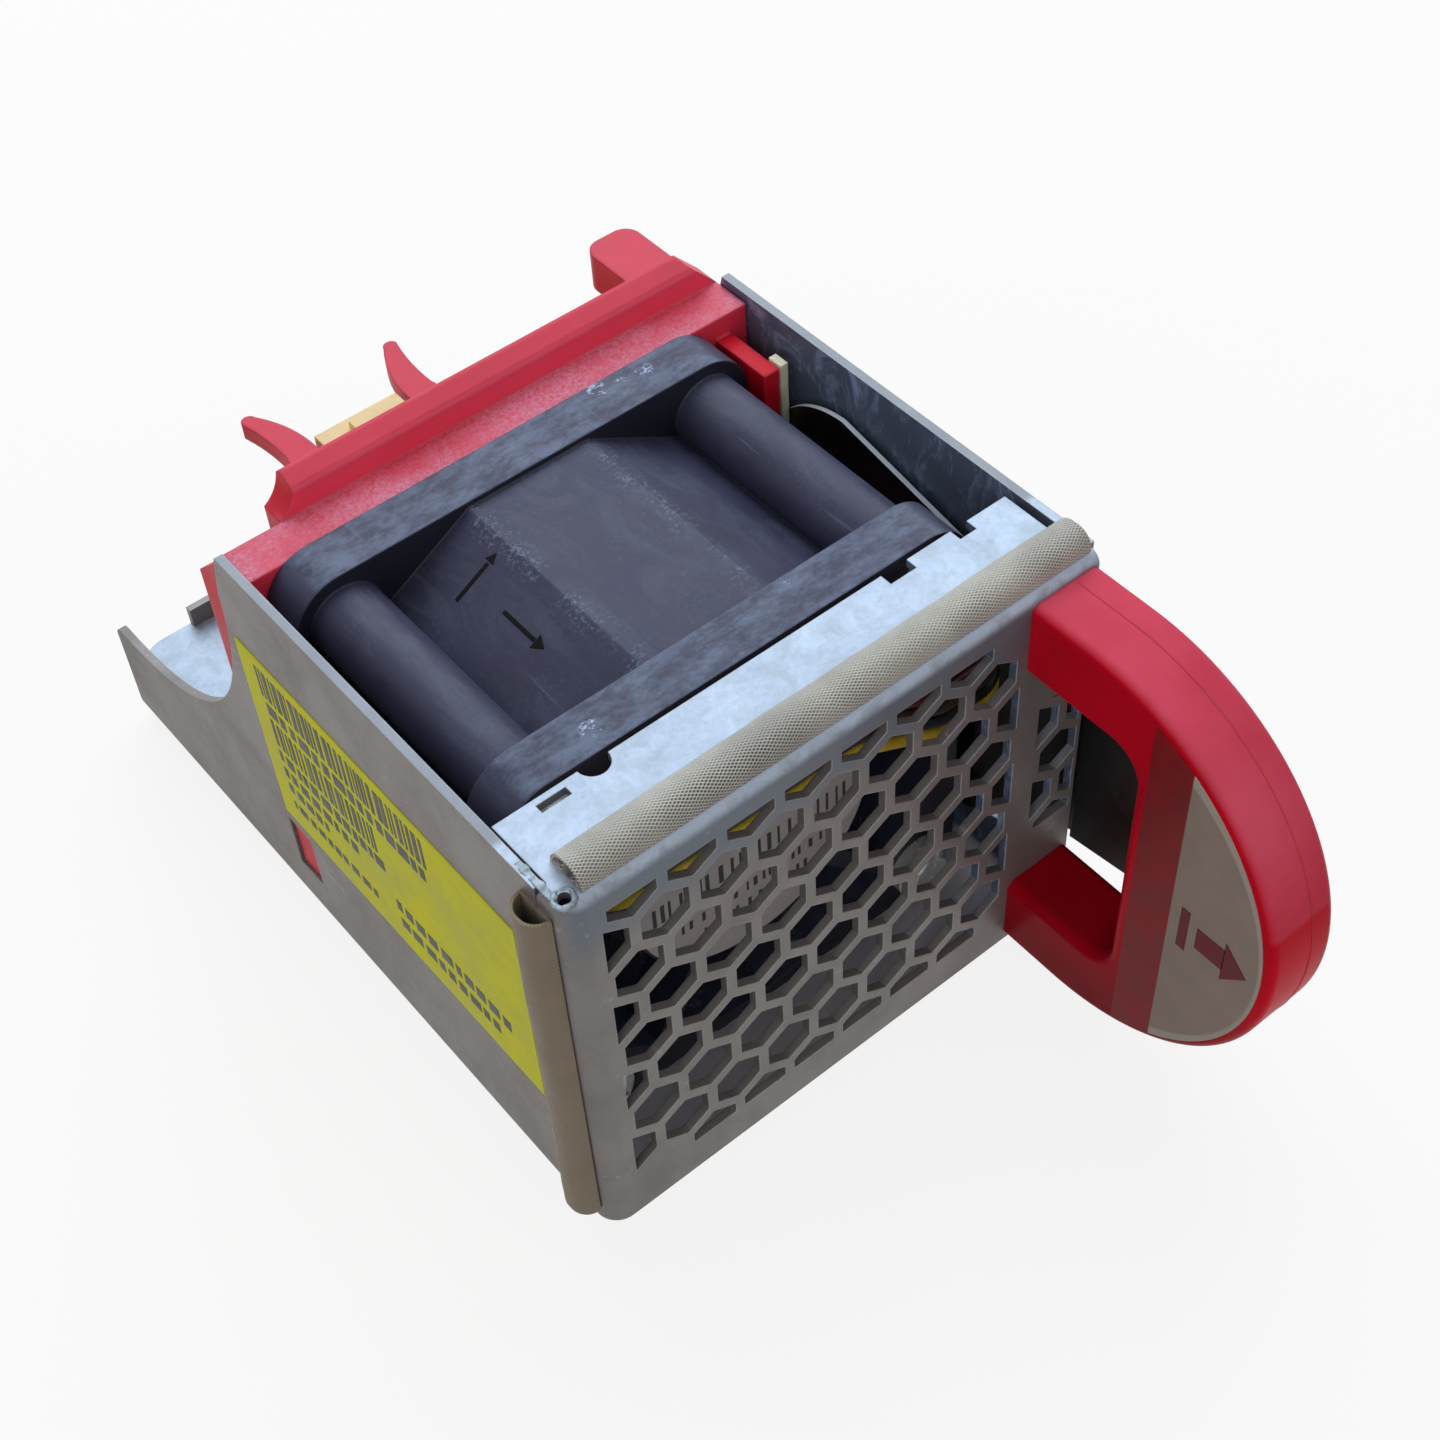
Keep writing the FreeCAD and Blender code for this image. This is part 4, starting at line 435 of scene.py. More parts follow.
def foam_finish():
    """Dark foam with open pores."""
    c = colours()
    f = Finish("gasket_foam", roughness=0.95)
    pores = f.cells(0.22, output="Distance")
    tone = f.mix(f.remap(pores, 0.1, 0.6), toned(c.foam, 0.4), toned(c.foam, 1.4))
    return f.use(base=tone, normal=f.bump(pores, 0.1))


def fan_finish():
    """Dark plastic with mottled flanges, speckled wear along the barrel's facets and chipped places."""
    c = colours()
    f = Finish("fan_plastic", sizes().plastic_edge, specular_ior_level=0.25)
    low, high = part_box("fan_frame")
    fine = f.noise(0.16, 3, 0.6)
    cloud = f.noise(6.0, 5, 0.62)
    base = f.mix(f.remap(cloud, 0.35, 0.7), toned(c.fan, 0.85), toned(c.fan, 1.15))
    up = f.facing((0, 0, 1), 0.3, 0.95)
    speckle = f.remap(f.noise(0.34, 4, 0.75), 0.52, 0.60)
    patch = f.remap(f.noise(4.2, 4, 0.6, distortion=0.8), 0.42, 0.56)
    aside = f.maths("SUBTRACT", f.along((1, 0, 0)), (low.x + high.x) / 2 / MM)
    above = f.maths("SUBTRACT", f.along((0, 0, 1)), (low.z + high.z) / 2 / MM)
    facet = f.times(f.maths("ARCTAN2", aside, above), FACETS / math.tau)
    ridge = f.remap(f.maths("PINGPONG", f.maths("ADD", facet, 0.5), 0.5), 0.15, 0.03)
    girth = f.maths("SQRT", f.maths("ADD", f.times(aside, aside), f.times(above, above)))
    barrel = f.remap(girth, BARREL_REACH, BARREL_REACH - 0.3)
    worn = f.times(f.times(speckle, patch), f.maths("MAXIMUM", f.times(ridge, barrel), f.times(up, 0.12)))
    base = f.mix(worn, base, toned(c.scuff, 1.15))
    flange = f.remap(f.along((0, 0, 1)), high.z / MM - 0.5, high.z / MM - 0.2)
    mottle = f.remap(f.noise(1.5, 6, 0.75, f.mapped((0.5, 1, 1))), 0.40, 0.62)
    smear = f.remap(f.noise(2.8, 5, 0.65, f.mapped((1, 0.35, 1), (0, 0, 0.4)), 1.0), 0.48, 0.68)
    base = f.mix(f.times(f.times(smear, up), 0.35), base, toned(c.scuff, 0.7))
    base = f.mix(f.times(f.times(flange, up), mottle), base, c.flange)
    scratch = f.remap(f.noise(0.8, 2, 0.5, f.mapped((1, 0.08, 1), (0.1, 0.2, 0.9))), 0.70, 0.74)
    base = f.mix(f.times(scratch, 0.3), base, c.scuff)
    # Painted shade: faces of the fan that face the front are darkened towards black, for the shadow under
    # the rear flange.
    base = f.mix(f.times(f.facing((0, -1, 0), 0.6, 0.95), 0.85), base, toned(c.fan, 0.2))
    rim = f.times(f.edges(), f.remap(cloud, 0.4, 0.6, 0.25, 0.8))
    base = f.mix(f.times(rim, 0.5), base, c.scuff)
    flake = f.remap(f.noise(0.75, 6, 0.9, f.mapped((0.7, 1, 1), (0, 0, 0.7))), 0.55, 0.60)
    for centre, radius in CHIPS:
        base = f.mix(f.times(f.spot(centre, radius), flake), base, toned(c.scuff, 3.4))
    rough = f.remap(f.maths("ADD", cloud, f.times(worn, 0.5)), 0.3, 1.0, 0.42, 0.64)
    return f.use(base=base, roughness=rough, normal=f.bump(fine, 0.014))


def red_finish(name, rubbed, gloss, dust_and_sheen_amount, clean_to, shine, painted_shade_below=None):
    """Moulded red plastic: rubbed is how pale the grain of its low ledges is and how much painted light its
    front faces get, dusty how strongly its upward faces are dusted and given a painted sheen.

    clean_to is the axis and the place in millimetres up to which it stays free of that dusting, sheen,
    painted light and pale grain, and painted_shade_below the height below which it darkens with painted
    shade.
    """
    c = colours()
    f = Finish(name, sizes().moulded_edge, coat_weight=shine / 4, specular_ior_level=shine)
    cloud = f.noise(8.0, 4, 0.55)
    tone = f.mix(f.remap(cloud, 0.35, 0.7), toned(c.red, 0.88), toned(c.red, 1.08))
    grain = f.noise(0.30, 6, 0.85)
    patch = f.remap(f.noise(6.0, 3, 0.5), 0.38, 0.60, 0.35, 1.0)
    low = f.remap(f.along((0, 0, 1)), sizes().grain_top / MM, sizes().grain_top / MM - 0.4)
    scuff = f.remap(f.noise(1.5, 6, 0.78, f.mapped((1, 0.4, 1), (0.2, 0.4, 0.3))), 0.68, 0.75)
    tone = f.mix(f.times(scuff, 0.35), tone, c.worn_and_sheen_red)
    # Painted shade: the red turns darker towards the bottom, below the given height.
    if painted_shade_below is not None:
        tone = f.mix(f.remap(f.along((0, 0, 1)), painted_shade_below, painted_shade_below - 12.0), tone, toned(c.red, 0.42))
    axis, place = clean_to
    beyond_clean_to = f.remap(f.along(axis), place, place + 0.5)
    # Upward and forward-tilted faces turn paler and pinker: partly dusting, partly painted sheen.
    dust_and_sheen = f.times(f.facing((0, -0.5, 0.87), 0.35, 0.92), f.remap(cloud, 0.3, 0.7, dust_and_sheen_amount * 0.6, dust_and_sheen_amount))
    # Painted light: faces that face the front turn the brighter lit red.
    front = f.times(f.facing((0, -1, 0), 0.5, 0.9), f.times(beyond_clean_to, 0.7 * rubbed))
    tone = f.mix(front, tone, c.lit_red)
    tone = f.mix(f.times(dust_and_sheen, beyond_clean_to), tone, c.worn_and_sheen_red)
    ledge = f.times(low, f.remap(f.along((0, 1, 0)), LEDGE_REAR, LEDGE_REAR - 0.5))
    pale = f.times(f.remap(grain, 0.36, 0.68), f.times(f.facing((0, 0, 1), 0.75, 0.95), ledge))
    tone = f.mix(f.times(f.times(pale, patch), f.times(beyond_clean_to, rubbed)), tone, c.chalk)
    # Pale edges: worn edges and painted highlight.
    tone = f.mix(f.times(f.edges(), 0.30), tone, c.worn_and_sheen_red)
    rough = f.remap(cloud, 0.3, 0.7, gloss, gloss + 0.14)
    waves = f.bump(f.noise(5.0, 2, 0.5), 0.03)
    return f.use(base=tone, roughness=rough, normal=f.bump(grain, 0.006 + 0.02 * rubbed, waves))


def plain_finish(name, rgb, roughness, metallic=0.0, pattern=1.2, swing=0.2, shine=0.5):
    """A moulded, drawn or painted surface with a little unevenness."""
    f = Finish(name, sizes().sheet_edge, metallic=metallic, specular_ior_level=shine)
    cloud = f.noise(pattern, 4, 0.6)
    tone = f.mix(f.remap(cloud, 0.3, 0.7), toned(rgb, 1 - swing), toned(rgb, 1 + swing))
    rough = f.remap(cloud, 0.3, 0.7, roughness * 0.85, roughness * 1.15)
    return f.use(base=tone, roughness=rough, normal=f.bump(f.noise(pattern / 6, 3), 0.01))


def lever_finish():
    """Black sheet with bright cut edges."""
    c = colours()
    f = Finish("lever_black", metallic=0.3)
    cut = f.maths("MAXIMUM", f.facing((0, 0, 1), 0.25, 0.45), f.facing((0, 0, -1), 0.25, 0.45))
    cloud = f.noise(2.5, 5, 0.65)
    tone = f.mix(f.remap(cloud, 0.35, 0.7), c.black, toned(c.black, 2.4))
    tone = f.mix(cut, tone, toned(c.bare_edge, 1.6))
    return f.use(base=tone, roughness=f.remap(cloud, 0.3, 0.7, 0.3, 0.45), normal=f.bump(cloud, 0.01))


def label_finish(name, rgb, worn):
    """Printed film: slightly creased, with darker handling marks."""
    f = Finish(name, specular_ior_level=0.04)
    cloud = f.noise(6.0, 5, 0.6)
    tone = f.mix(f.remap(cloud, 0.35, 0.7), toned(rgb, 1 - worn), toned(rgb, 1 + worn * 0.3))
    smear = f.remap(f.noise(3.0, 6, 0.7, f.mapped((1, 0.5, 1), (0.6, 0, 0))), 0.62, 0.8)
    tone = f.mix(f.times(smear, worn), tone, toned(rgb, 0.55))
    rough = f.remap(cloud, 0.3, 0.7, 0.34, 0.5)
    return f.use(base=tone, roughness=rough, normal=f.bump(f.noise(4.0, 3), 0.04))


def panel_finish():
    """The handle label: a dark red band beside a silver field with a pale rim of painted highlight."""
    c = colours()
    f = Finish("panel_label", specular_ior_level=0.10)
    low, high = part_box("handle_label")
    reach = (high.z - low.z) / 2 / MM
    middle = (0, low.y / MM + reach, (low.z + high.z) / 2 / MM)
    away = f.add("VectorMath", operation="DISTANCE")
    f.feed(away.inputs[0], f.mapped((0, 1, 1)))
    away.inputs[1].default_value = middle
    cloud = f.noise(3.0, 5, 0.6)
    field = f.mix(f.remap(cloud, 0.35, 0.7), toned(c.panel, 0.93), toned(c.panel, 1.06))
    band = f.mix(f.remap(cloud, 0.35, 0.7), toned(c.band, 0.8), toned(c.band, 1.3))
    in_band = f.remap(f.along((0, 1, 0)), BAND_EDGE - 0.04, BAND_EDGE + 0.04)
    # Painted highlight: a pale rim round the silver field.
    rim = f.remap(away.outputs["Value"], reach - 0.35, reach - 0.15)
    tone = f.mix(in_band, f.mix(f.times(rim, 0.8), field, c.panel_rim_highlight), band)
    return f.use(base=tone, roughness=f.remap(cloud, 0.3, 0.7, 0.36, 0.48), normal=f.bump(cloud, 0.01))


def board_finish():
    """Solder mask over tracks."""
    c = colours()
    f = Finish("board_green", roughness=0.35)
    track = f.remap(f.cells(0.9, f.mapped((1, 1, 1), (0, 0.6, 0)), "Distance"), 0.28, 0.34)
    return f.use(base=f.mix(track, toned(c.board, 1.6), c.board), normal=f.bump(track, 0.02))


def core_finish():
    """Stacked laminations, seen as fine lines across the shaft."""
    c = colours()
    f = Finish("core_steel", metallic=0.8, roughness=0.5)
    layers = f.maths("PINGPONG", f.along((0, 1 / 0.35, 0)), 0.5)
    tone = f.mix(f.remap(layers, 0.05, 0.2), toned(c.core, 0.35), c.core)
    return f.use(base=tone, normal=f.bump(layers, 0.05))


def winding_finish():
    """Enamelled wire in close turns."""
    c = colours()
    f = Finish("copper_wire", metallic=0.7, roughness=0.3)
    turns = f.maths("PINGPONG", f.along((3.2, 0.4, 3.2)), 0.5)
    tone = f.mix(f.remap(turns, 0.05, 0.3), toned(c.copper, 0.3), c.copper)
    return f.use(base=tone, normal=f.bump(turns, 0.08))


def dress(node, material):
    """Give a CAD node its finish."""
    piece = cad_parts[node]
    piece.data.materials.clear()
    piece.data.materials.append(material)


def deselect():
    """Leave edit mode with nothing selected."""
    if bpy.context.object and bpy.context.object.mode != "OBJECT":
        bpy.ops.object.mode_set(mode="OBJECT")
    for thing in bpy.context.selected_objects:
        thing.select_set(False)


def named(name):
    """Name the piece just begun and put its place, turn and scale into its mesh."""
    piece = bpy.context.object
    piece.name = name
    piece.data.name = name
    bpy.ops.object.transform_apply(location=True, rotation=True, scale=True)
    return piece


def begin_box(name, low, high):
    """A box between two corners, with its place in its mesh."""
    deselect()
    centre = [(a + b) / 2 for a, b in zip(low, high)]
    bpy.ops.mesh.primitive_cube_add(size=1, location=centre)
    bpy.context.object.scale = [b - a for a, b in zip(low, high)]
    return named(name)


def choose(piece, kind, test):
    """Select a mesh's vertices, edges or faces by a test, and go to edit mode."""
    bpy.ops.object.mode_set(mode="EDIT")
    bpy.ops.mesh.select_mode(type={"vertices": "VERT", "edges": "EDGE", "polygons": "FACE"}[kind])
    bpy.ops.mesh.select_all(action="DESELECT")
    bpy.ops.object.mode_set(mode="OBJECT")
    chosen = [item for item in getattr(piece.data, kind) if test(item)]
    if not chosen:
        raise RuntimeError("nothing to select on " + piece.name)
    for item in chosen:
        item.select = True
    bpy.ops.object.mode_set(mode="EDIT")


def ends_of(piece, edge):
    """The places of an edge's two ends."""
    return [piece.data.vertices[index].co for index in edge.vertices]


def settle(piece, material, stands_for=()):
    """Finish a new piece: its material, its body and what it stands for."""
    if piece.mode != "OBJECT":
        bpy.ops.object.mode_set(mode="OBJECT")
    piece.data.materials.clear()
    piece.data.materials.append(material)
    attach(piece, MODULE)
    if stands_for:
        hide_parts(*stands_for)


def apply_modifiers(piece):
    """Put a piece's modifiers into its mesh."""
    bpy.context.view_layer.objects.active = piece
    for modifier in list(piece.modifiers):
        bpy.ops.object.modifier_apply(modifier=modifier.name)


def smooth(piece, degrees):
    """Shade a piece smooth except across its sharp edges."""
    deselect()
    piece.select_set(True)
    bpy.context.view_layer.objects.active = piece
    bpy.ops.object.shade_smooth_by_angle(angle=math.radians(degrees))


def sleeve(name, node, run, out):
    """A soft fabric tube on a flat base: run is its long axis and out the axis it bulges along."""
    s = sizes()
    low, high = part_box(node)
    piece = begin_box(name, low, high)
    inner, outer = low[out], high[out]
    if node == "side_gasket":
        inner, outer = outer, inner
    across = 3 - run - out

    def lengthways(edge):
        a, b = ends_of(piece, edge)
        return abs(a[run] - b[run]) > 5 * MM

    def on_crest(edge):
        a, b = ends_of(piece, edge)
        same = abs(a[out] - outer) < HAIR and abs(b[out] - outer) < HAIR
        return same and abs(a[across] - b[across]) < HAIR

    choose(piece, "edges", lengthways)
    bpy.ops.mesh.subdivide(number_cuts=GASKET_CUTS)
    bpy.ops.object.mode_set(mode="OBJECT")
    choose(piece, "edges", on_crest)
    bpy.ops.mesh.bevel(offset=s.gasket_round, segments=GASKET_STEPS, profile=0.5, affect="EDGES")
    bpy.ops.object.mode_set(mode="OBJECT")
    choose(piece, "polygons", lambda p: abs(p.normal[run]) > 0.9)
    bpy.ops.mesh.delete(type="FACE")
    bpy.ops.object.mode_set(mode="OBJECT")
    loose = piece.vertex_groups.new(name="loose")
    for vertex in piece.data.vertices:
        share = (vertex.co[out] - inner) / (outer - inner)
        loose.add([vertex.index], max(0.0, min(1.0, share * 1.3 - 0.15)), "REPLACE")
    puckers = bpy.data.textures.new(name + "_puckers", "CLOUDS")
    puckers.noise_scale = 5.5 * MM
    puckers.noise_depth = 2
    swell = piece.modifiers.new("swell", "DISPLACE")
    swell.texture = puckers
    swell.texture_coords = "LOCAL"
    swell.strength = s.gasket_swell
    swell.mid_level = 0.62
    swell.vertex_group = "loose"
    wall = piece.modifiers.new("wall", "SOLIDIFY")
    wall.thickness = s.gasket_wall
    wall.offset = -1
    apply_modifiers(piece)
    smooth(piece, 50)
    return piece


def foam_core(name, node, run):
    """The dark foam that fills a gasket, set back from its open ends."""
    s = sizes()
    low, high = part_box(node)
    inset = s.gasket_wall * 2.6
    low = [low[i] + (s.foam_setback if i == run else inset) for i in range(3)]
    high = [high[i] - (s.foam_setback if i == run else inset) for i in range(3)]
    piece = begin_box(name, low, high)
    choose(piece, "polygons", lambda p: abs(p.normal[run]) > 0.9)
    bpy.ops.mesh.inset(thickness=0.3 * MM, depth=-0.25 * MM)
    bpy.ops.object.mode_set(mode="OBJECT")
    rounding = piece.modifiers.new("rounding", "BEVEL")
    rounding.width = 0.95 * MM
    rounding.segments = 5
    rounding.limit_method = "ANGLE"
    apply_modifiers(piece)
    return piece


class Marks:
    """Thin printed blocks gathered in one mesh."""

    def __init__(self, name):
        self.name = name
        self.piece = None

    def block(self, centre, spans, turn=(0, 0, 0)):
        if self.piece is None:
            deselect()
        bpy.ops.mesh.primitive_cube_add(size=1, location=centre, rotation=turn, scale=spans)
        if self.piece is None:
            self.piece = named(self.name)
            bpy.ops.object.mode_set(mode="EDIT")

    def point(self, centre, radius, thickness, turn, stretch=(1, 1), heading=0.0):
        """A triangular block, for an arrow's head."""
        turned_first = Euler(turn).to_matrix() @ Euler((0, 0, heading)).to_matrix()
        bpy.ops.mesh.primitive_cylinder_add(
            vertices=3, radius=radius, depth=thickness, location=centre, rotation=turned_first.to_euler(),
            scale=(*stretch, 1))

    def done(self, corner):
        """Round the corners of the blocks a little, as ink has them."""
        bpy.ops.mesh.select_all(action="SELECT")
        bpy.ops.mesh.bevel(offset=corner, segments=1, affect="EDGES")
        bpy.ops.object.mode_set(mode="OBJECT")
        return self.piece


def bar_row(marks, chance, place, y, z, widths, gap):
    """A row of upright bars from one end of y to the other."""
    at = y[0]
    while at < y[1]:
        wide = min(chance.uniform(*widths), y[1] - at)
        if wide > widths[0] * 0.6:
            marks.block((place, (at + wide / 2) * MM, (z[0] + z[1]) / 2 * MM),
                        (sizes().ink, wide * MM, (z[1] - z[0]) * MM))
        at += wide + chance.uniform(*gap)


def floor_finish():
    """Pale floor: near white to the camera, where it keeps the shadow, and duller as a reflector."""
    c = colours()
    f = Finish("studio_floor", roughness=0.9, specular_ior_level=0.0)
    f.use(base=c.floor)
    dull = f.add("BsdfDiffuse")
    dull.inputs["Color"].default_value = (*toned(c.floor, 0.28), 1)
    glow = f.add("Emission")
    glow.inputs["Color"].default_value = (1, 1, 1, 1)
    glow.inputs["Strength"].default_value = 1.0
    path = f.add("LightPath")
    seen = f.maths("MAXIMUM", path.outputs["Is Camera Ray"], path.outputs["Is Glossy Ray"])
    seen = f.maths("MAXIMUM", seen, path.outputs["Is Transmission Ray"])
    white = f.add("MixShader")
    white.inputs[0].default_value = 0.85
    f.feed(white.inputs[1], f.shader.outputs[0])
    f.feed(white.inputs[2], glow.outputs[0])
    blend = f.add("MixShader")
    f.feed(blend.inputs[0], seen)
    f.feed(blend.inputs[1], dull.outputs[0])
    f.feed(blend.inputs[2], white.outputs[0])
    f.feed(f.tree.nodes["Material Output"].inputs["Surface"], blend.outputs[0])
    return f.material


def surround(world):
    """White to the camera and in reflections, a soft grey light to the module."""
    world.use_nodes = True
    nodes = world.node_tree.nodes
    links = world.node_tree.links
    soft = nodes["Background"]
    soft.inputs["Color"].default_value = (0.84, 0.91, 1.0, 1)
    soft.inputs["Strength"].default_value = 0.30
    white = nodes.new("ShaderNodeBackground")
    white.inputs["Color"].default_value = (1, 1, 1, 1)
    white.inputs["Strength"].default_value = 1.0
    path = nodes.new("ShaderNodeLightPath")
    seen = path.outputs["Is Camera Ray"]
    for ray in ("Is Glossy Ray", "Is Transmission Ray"):
        either = nodes.new("ShaderNodeMath")
        either.operation = "MAXIMUM"
        links.new(seen, either.inputs[0])
        links.new(path.outputs[ray], either.inputs[1])
        seen = either.outputs[0]
    blend = nodes.new("ShaderNodeMixShader")
    links.new(seen, blend.inputs[0])
    links.new(soft.outputs[0], blend.inputs[1])
    links.new(white.outputs[0], blend.inputs[2])
    links.new(blend.outputs[0], nodes["World Output"].inputs["Surface"])


def lamp(name, place, size, power, tint):
    """A soft square lamp aimed at the module."""
    light = bpy.data.lights.new(name, "AREA")
    light.size = size
    light.energy = power
    light.color = tint
    holder = bpy.data.objects.new(name, light)
    holder.location = place
    aim = Vector(LAMP_AIM) - holder.location
    holder.rotation_euler = aim.to_track_quat("-Z", "Y").to_euler()
    bpy.context.scene.collection.objects.link(holder)


class FANMODULE_OT_sheet(bpy.types.Operator):
    """Finish the tray, the front plate and the latch anchor as zinc-coated sheet"""

    bl_idname = "fan_module.sheet"
    bl_label = "Sheet metal"

    def execute(self, context):
        finish = sheet_finish()
        for node in ("tray", "front_plate"):
            dress(node, finish)
        # Latch anchor in a brightened warm colour, partly painted light.
        dress("latch_anchor", plain_finish("latch_anchor", colours().anchor, 0.5, shine=0.2))
        return {"FINISHED"}


class FANMODULE_OT_fan(bpy.types.Operator):
    """Finish the fan's housing, wheel and motor"""

    bl_idname = "fan_module.fan"
    bl_label = "Fan"

    def execute(self, context):
        c = colours()
        finish = fan_finish()
        dress("fan_frame", finish)
        dress("impeller", finish)
        steel = plain_finish("bright_steel", c.steel, 0.28, metallic=0.9, pattern=0.8, swing=0.1)
        for node in ("rotor_yoke", "shaft", "shaft_clip", "front_bearing", "rear_bearing",
                     "preload_spring", "handle_screws", "latch_rivets"):
            dress(node, steel)
        # Painted glint: the fan screws get a lighter, less metallic steel so they show bright behind the
        # grille, where they lie in shade.
        screw_glint_finish = plain_finish(
            "bright_screw", toned(c.steel, 1.5), 0.25, metallic=0.4, pattern=0.8, swing=0.1)
        dress("fan_screws", screw_glint_finish)
        dress("ring_magnet", plain_finish("ferrite", c.ferrite, 0.6))
        dress("stator_core", core_finish())
        dress("stator_coils", winding_finish())
        dress("fan_board", board_finish())
        dress("hub_label", label_finish("silver_label", c.silver, 0.12))
        return {"FINISHED"}


class FANMODULE_OT_bracket(bpy.types.Operator):
    """Finish the rear bracket and its plug"""

    bl_idname = "fan_module.bracket"
    bl_label = "Rear bracket"

    def execute(self, context):
        c = colours()
        # The bracket: painted light on its front faces and painted sheen on its upward faces.
        dress("rear_bracket", red_finish(
            "bracket_red", rubbed=0.9, gloss=0.36, dust_and_sheen_amount=0.30, clean_to=((0, 1, 0), 36.5), shine=0.16))
        dress("connector_housing", plain_finish("plug_cream", c.cream, 0.5, pattern=2.0, swing=0.1))
        dress("connector_contacts", plain_finish(
            "contact_brass", c.brass, 0.25, metallic=0.9, pattern=0.6, swing=0.1))
        return {"FINISHED"}


class FANMODULE_OT_leads(bpy.types.Operator):
    """Finish the four leads"""

    bl_idname = "fan_module.leads"
    bl_label = "Leads"

    def execute(self, context):
        for node in ("lead_yellow", "lead_black", "lead_brown", "lead_red"):
            dress(node, plain_finish(node, getattr(colours(), node), 0.42, pattern=1.5, swing=0.15))
        return {"FINISHED"}


class FANMODULE_OT_latch(bpy.types.Operator):
    """Finish the release lever and its thumb tab"""

    bl_idname = "fan_module.latch"
    bl_label = "Latch"

    def execute(self, context):
        dress("latch_lever", lever_finish())
        black = toned(colours().black, 0.8)
        dress("latch_tab", plain_finish("tab_black", black, 0.4, pattern=1.0, swing=0.3))
        return {"FINISHED"}


class FANMODULE_OT_handle(bpy.types.Operator):
    """Finish the handle and add its mould seam"""

    bl_idname = "fan_module.handle"
    bl_label = "Handle"

    def execute(self, context):
        s = sizes()
        # The handle: painted shade low down and painted sheen on its upper faces.
        red = red_finish(
            "handle_red", rubbed=0.0, gloss=0.26, dust_and_sheen_amount=0.45, clean_to=((0, 0, 1), 26.0), shine=0.03,
            painted_shade_below=17.0)
        dress("handle", red)
        dress("handle_label", panel_finish())
        low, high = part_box("handle")
        radius = (high.z - low.z) / 2
        middle = (low.z + high.z) / 2
        bend = low.y + radius
        deselect()
        bpy.ops.mesh.primitive_circle_add(
            vertices=192, radius=radius - s.seam * 0.5, location=(s.seam_at, bend, middle),
            rotation=(0, math.pi / 2, 0))
        piece = named("handle_seam")
        choose(piece, "vertices", lambda v: v.co.y > bend + HAIR)
        bpy.ops.mesh.delete(type="VERT")
        choose(piece, "vertices", lambda v: v.co.y > bend - HAIR)
        bpy.ops.mesh.extrude_vertices_move(
            TRANSFORM_OT_translate={"value": (0, high.y - bend - 0.3 * MM, 0)})
        bpy.ops.object.mode_set(mode="OBJECT")
        bpy.ops.object.convert(target="CURVE")
        piece.data.bevel_depth = s.seam
        piece.data.bevel_resolution = 2
        piece.data.use_fill_caps = True
        bpy.ops.object.convert(target="MESH")
        settle(bpy.context.object, red)
        return {"FINISHED"}


class FANMODULE_OT_gaskets(bpy.types.Operator):
    """Make the two fabric-over-foam gaskets"""

    bl_idname = "fan_module.gaskets"
    bl_label = "Gaskets"

    def execute(self, context):
        c = colours()
        foam = foam_finish()
        top = sleeve("top_gasket_cloth", "top_gasket", 0, 2)
        settle(top, fabric_finish("top_weave", "top_gasket", c.thread, 0, 2, 1.0),
               stands_for=("top_gasket",))
        side = sleeve("side_gasket_cloth", "side_gasket", 2, 0)
        settle(side, fabric_finish("side_weave", "side_gasket", c.side_thread, 2, 0, 0.3),
               stands_for=("side_gasket",))
        settle(foam_core("top_gasket_foam", "top_gasket", 0), foam)
        settle(foam_core("side_gasket_foam", "side_gasket", 2), foam)
        return {"FINISHED"}


class FANMODULE_OT_side_label(bpy.types.Operator):
    """Finish the yellow label and print plain bars on it"""

    bl_idname = "fan_module.side_label"
    bl_label = "Side label"

    def execute(self, context):
        c = colours()
        dress("side_label", label_finish("yellow_label", c.yellow, 0.16))
        chance = random.Random(sizes().bars_seed)
        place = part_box("side_label")[0].x - sizes().ink / 2
        marks = Marks("side_label_bars")
        for row in LABEL_ROWS:
            bar_row(marks, chance, place, *row)
        ink = plain_finish("label_ink", c.ink, 0.5, pattern=1.5, swing=0.3)
        settle(marks.done(0.006 * MM), ink)
        return {"FINISHED"}


class FANMODULE_OT_pull_arrow(bpy.types.Operator):
    """Print the pull arrow on the handle's label"""

    bl_idname = "fan_module.pull_arrow"
    bl_label = "Pull arrow"

    def execute(self, context):
        ink = sizes().ink
        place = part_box("handle_label")[0].x - ink / 2
        marks = Marks("pull_arrow")
        for y, z, wide, tall in PULL_BLOCKS:
            marks.block((place, y * MM, z * MM), (ink, wide * MM, tall * MM))
        y, z, radius = PULL_HEAD
        marks.point((place, y * MM, z * MM), radius * MM, ink, (math.pi, -math.pi / 2, 0),
                    PULL_HEAD_STRETCH)
        red = plain_finish("arrow_red", colours().arrow, 0.42, pattern=1.5, swing=0.15, shine=0.1)
        settle(marks.done(0.005 * MM), red)
        return {"FINISHED"}


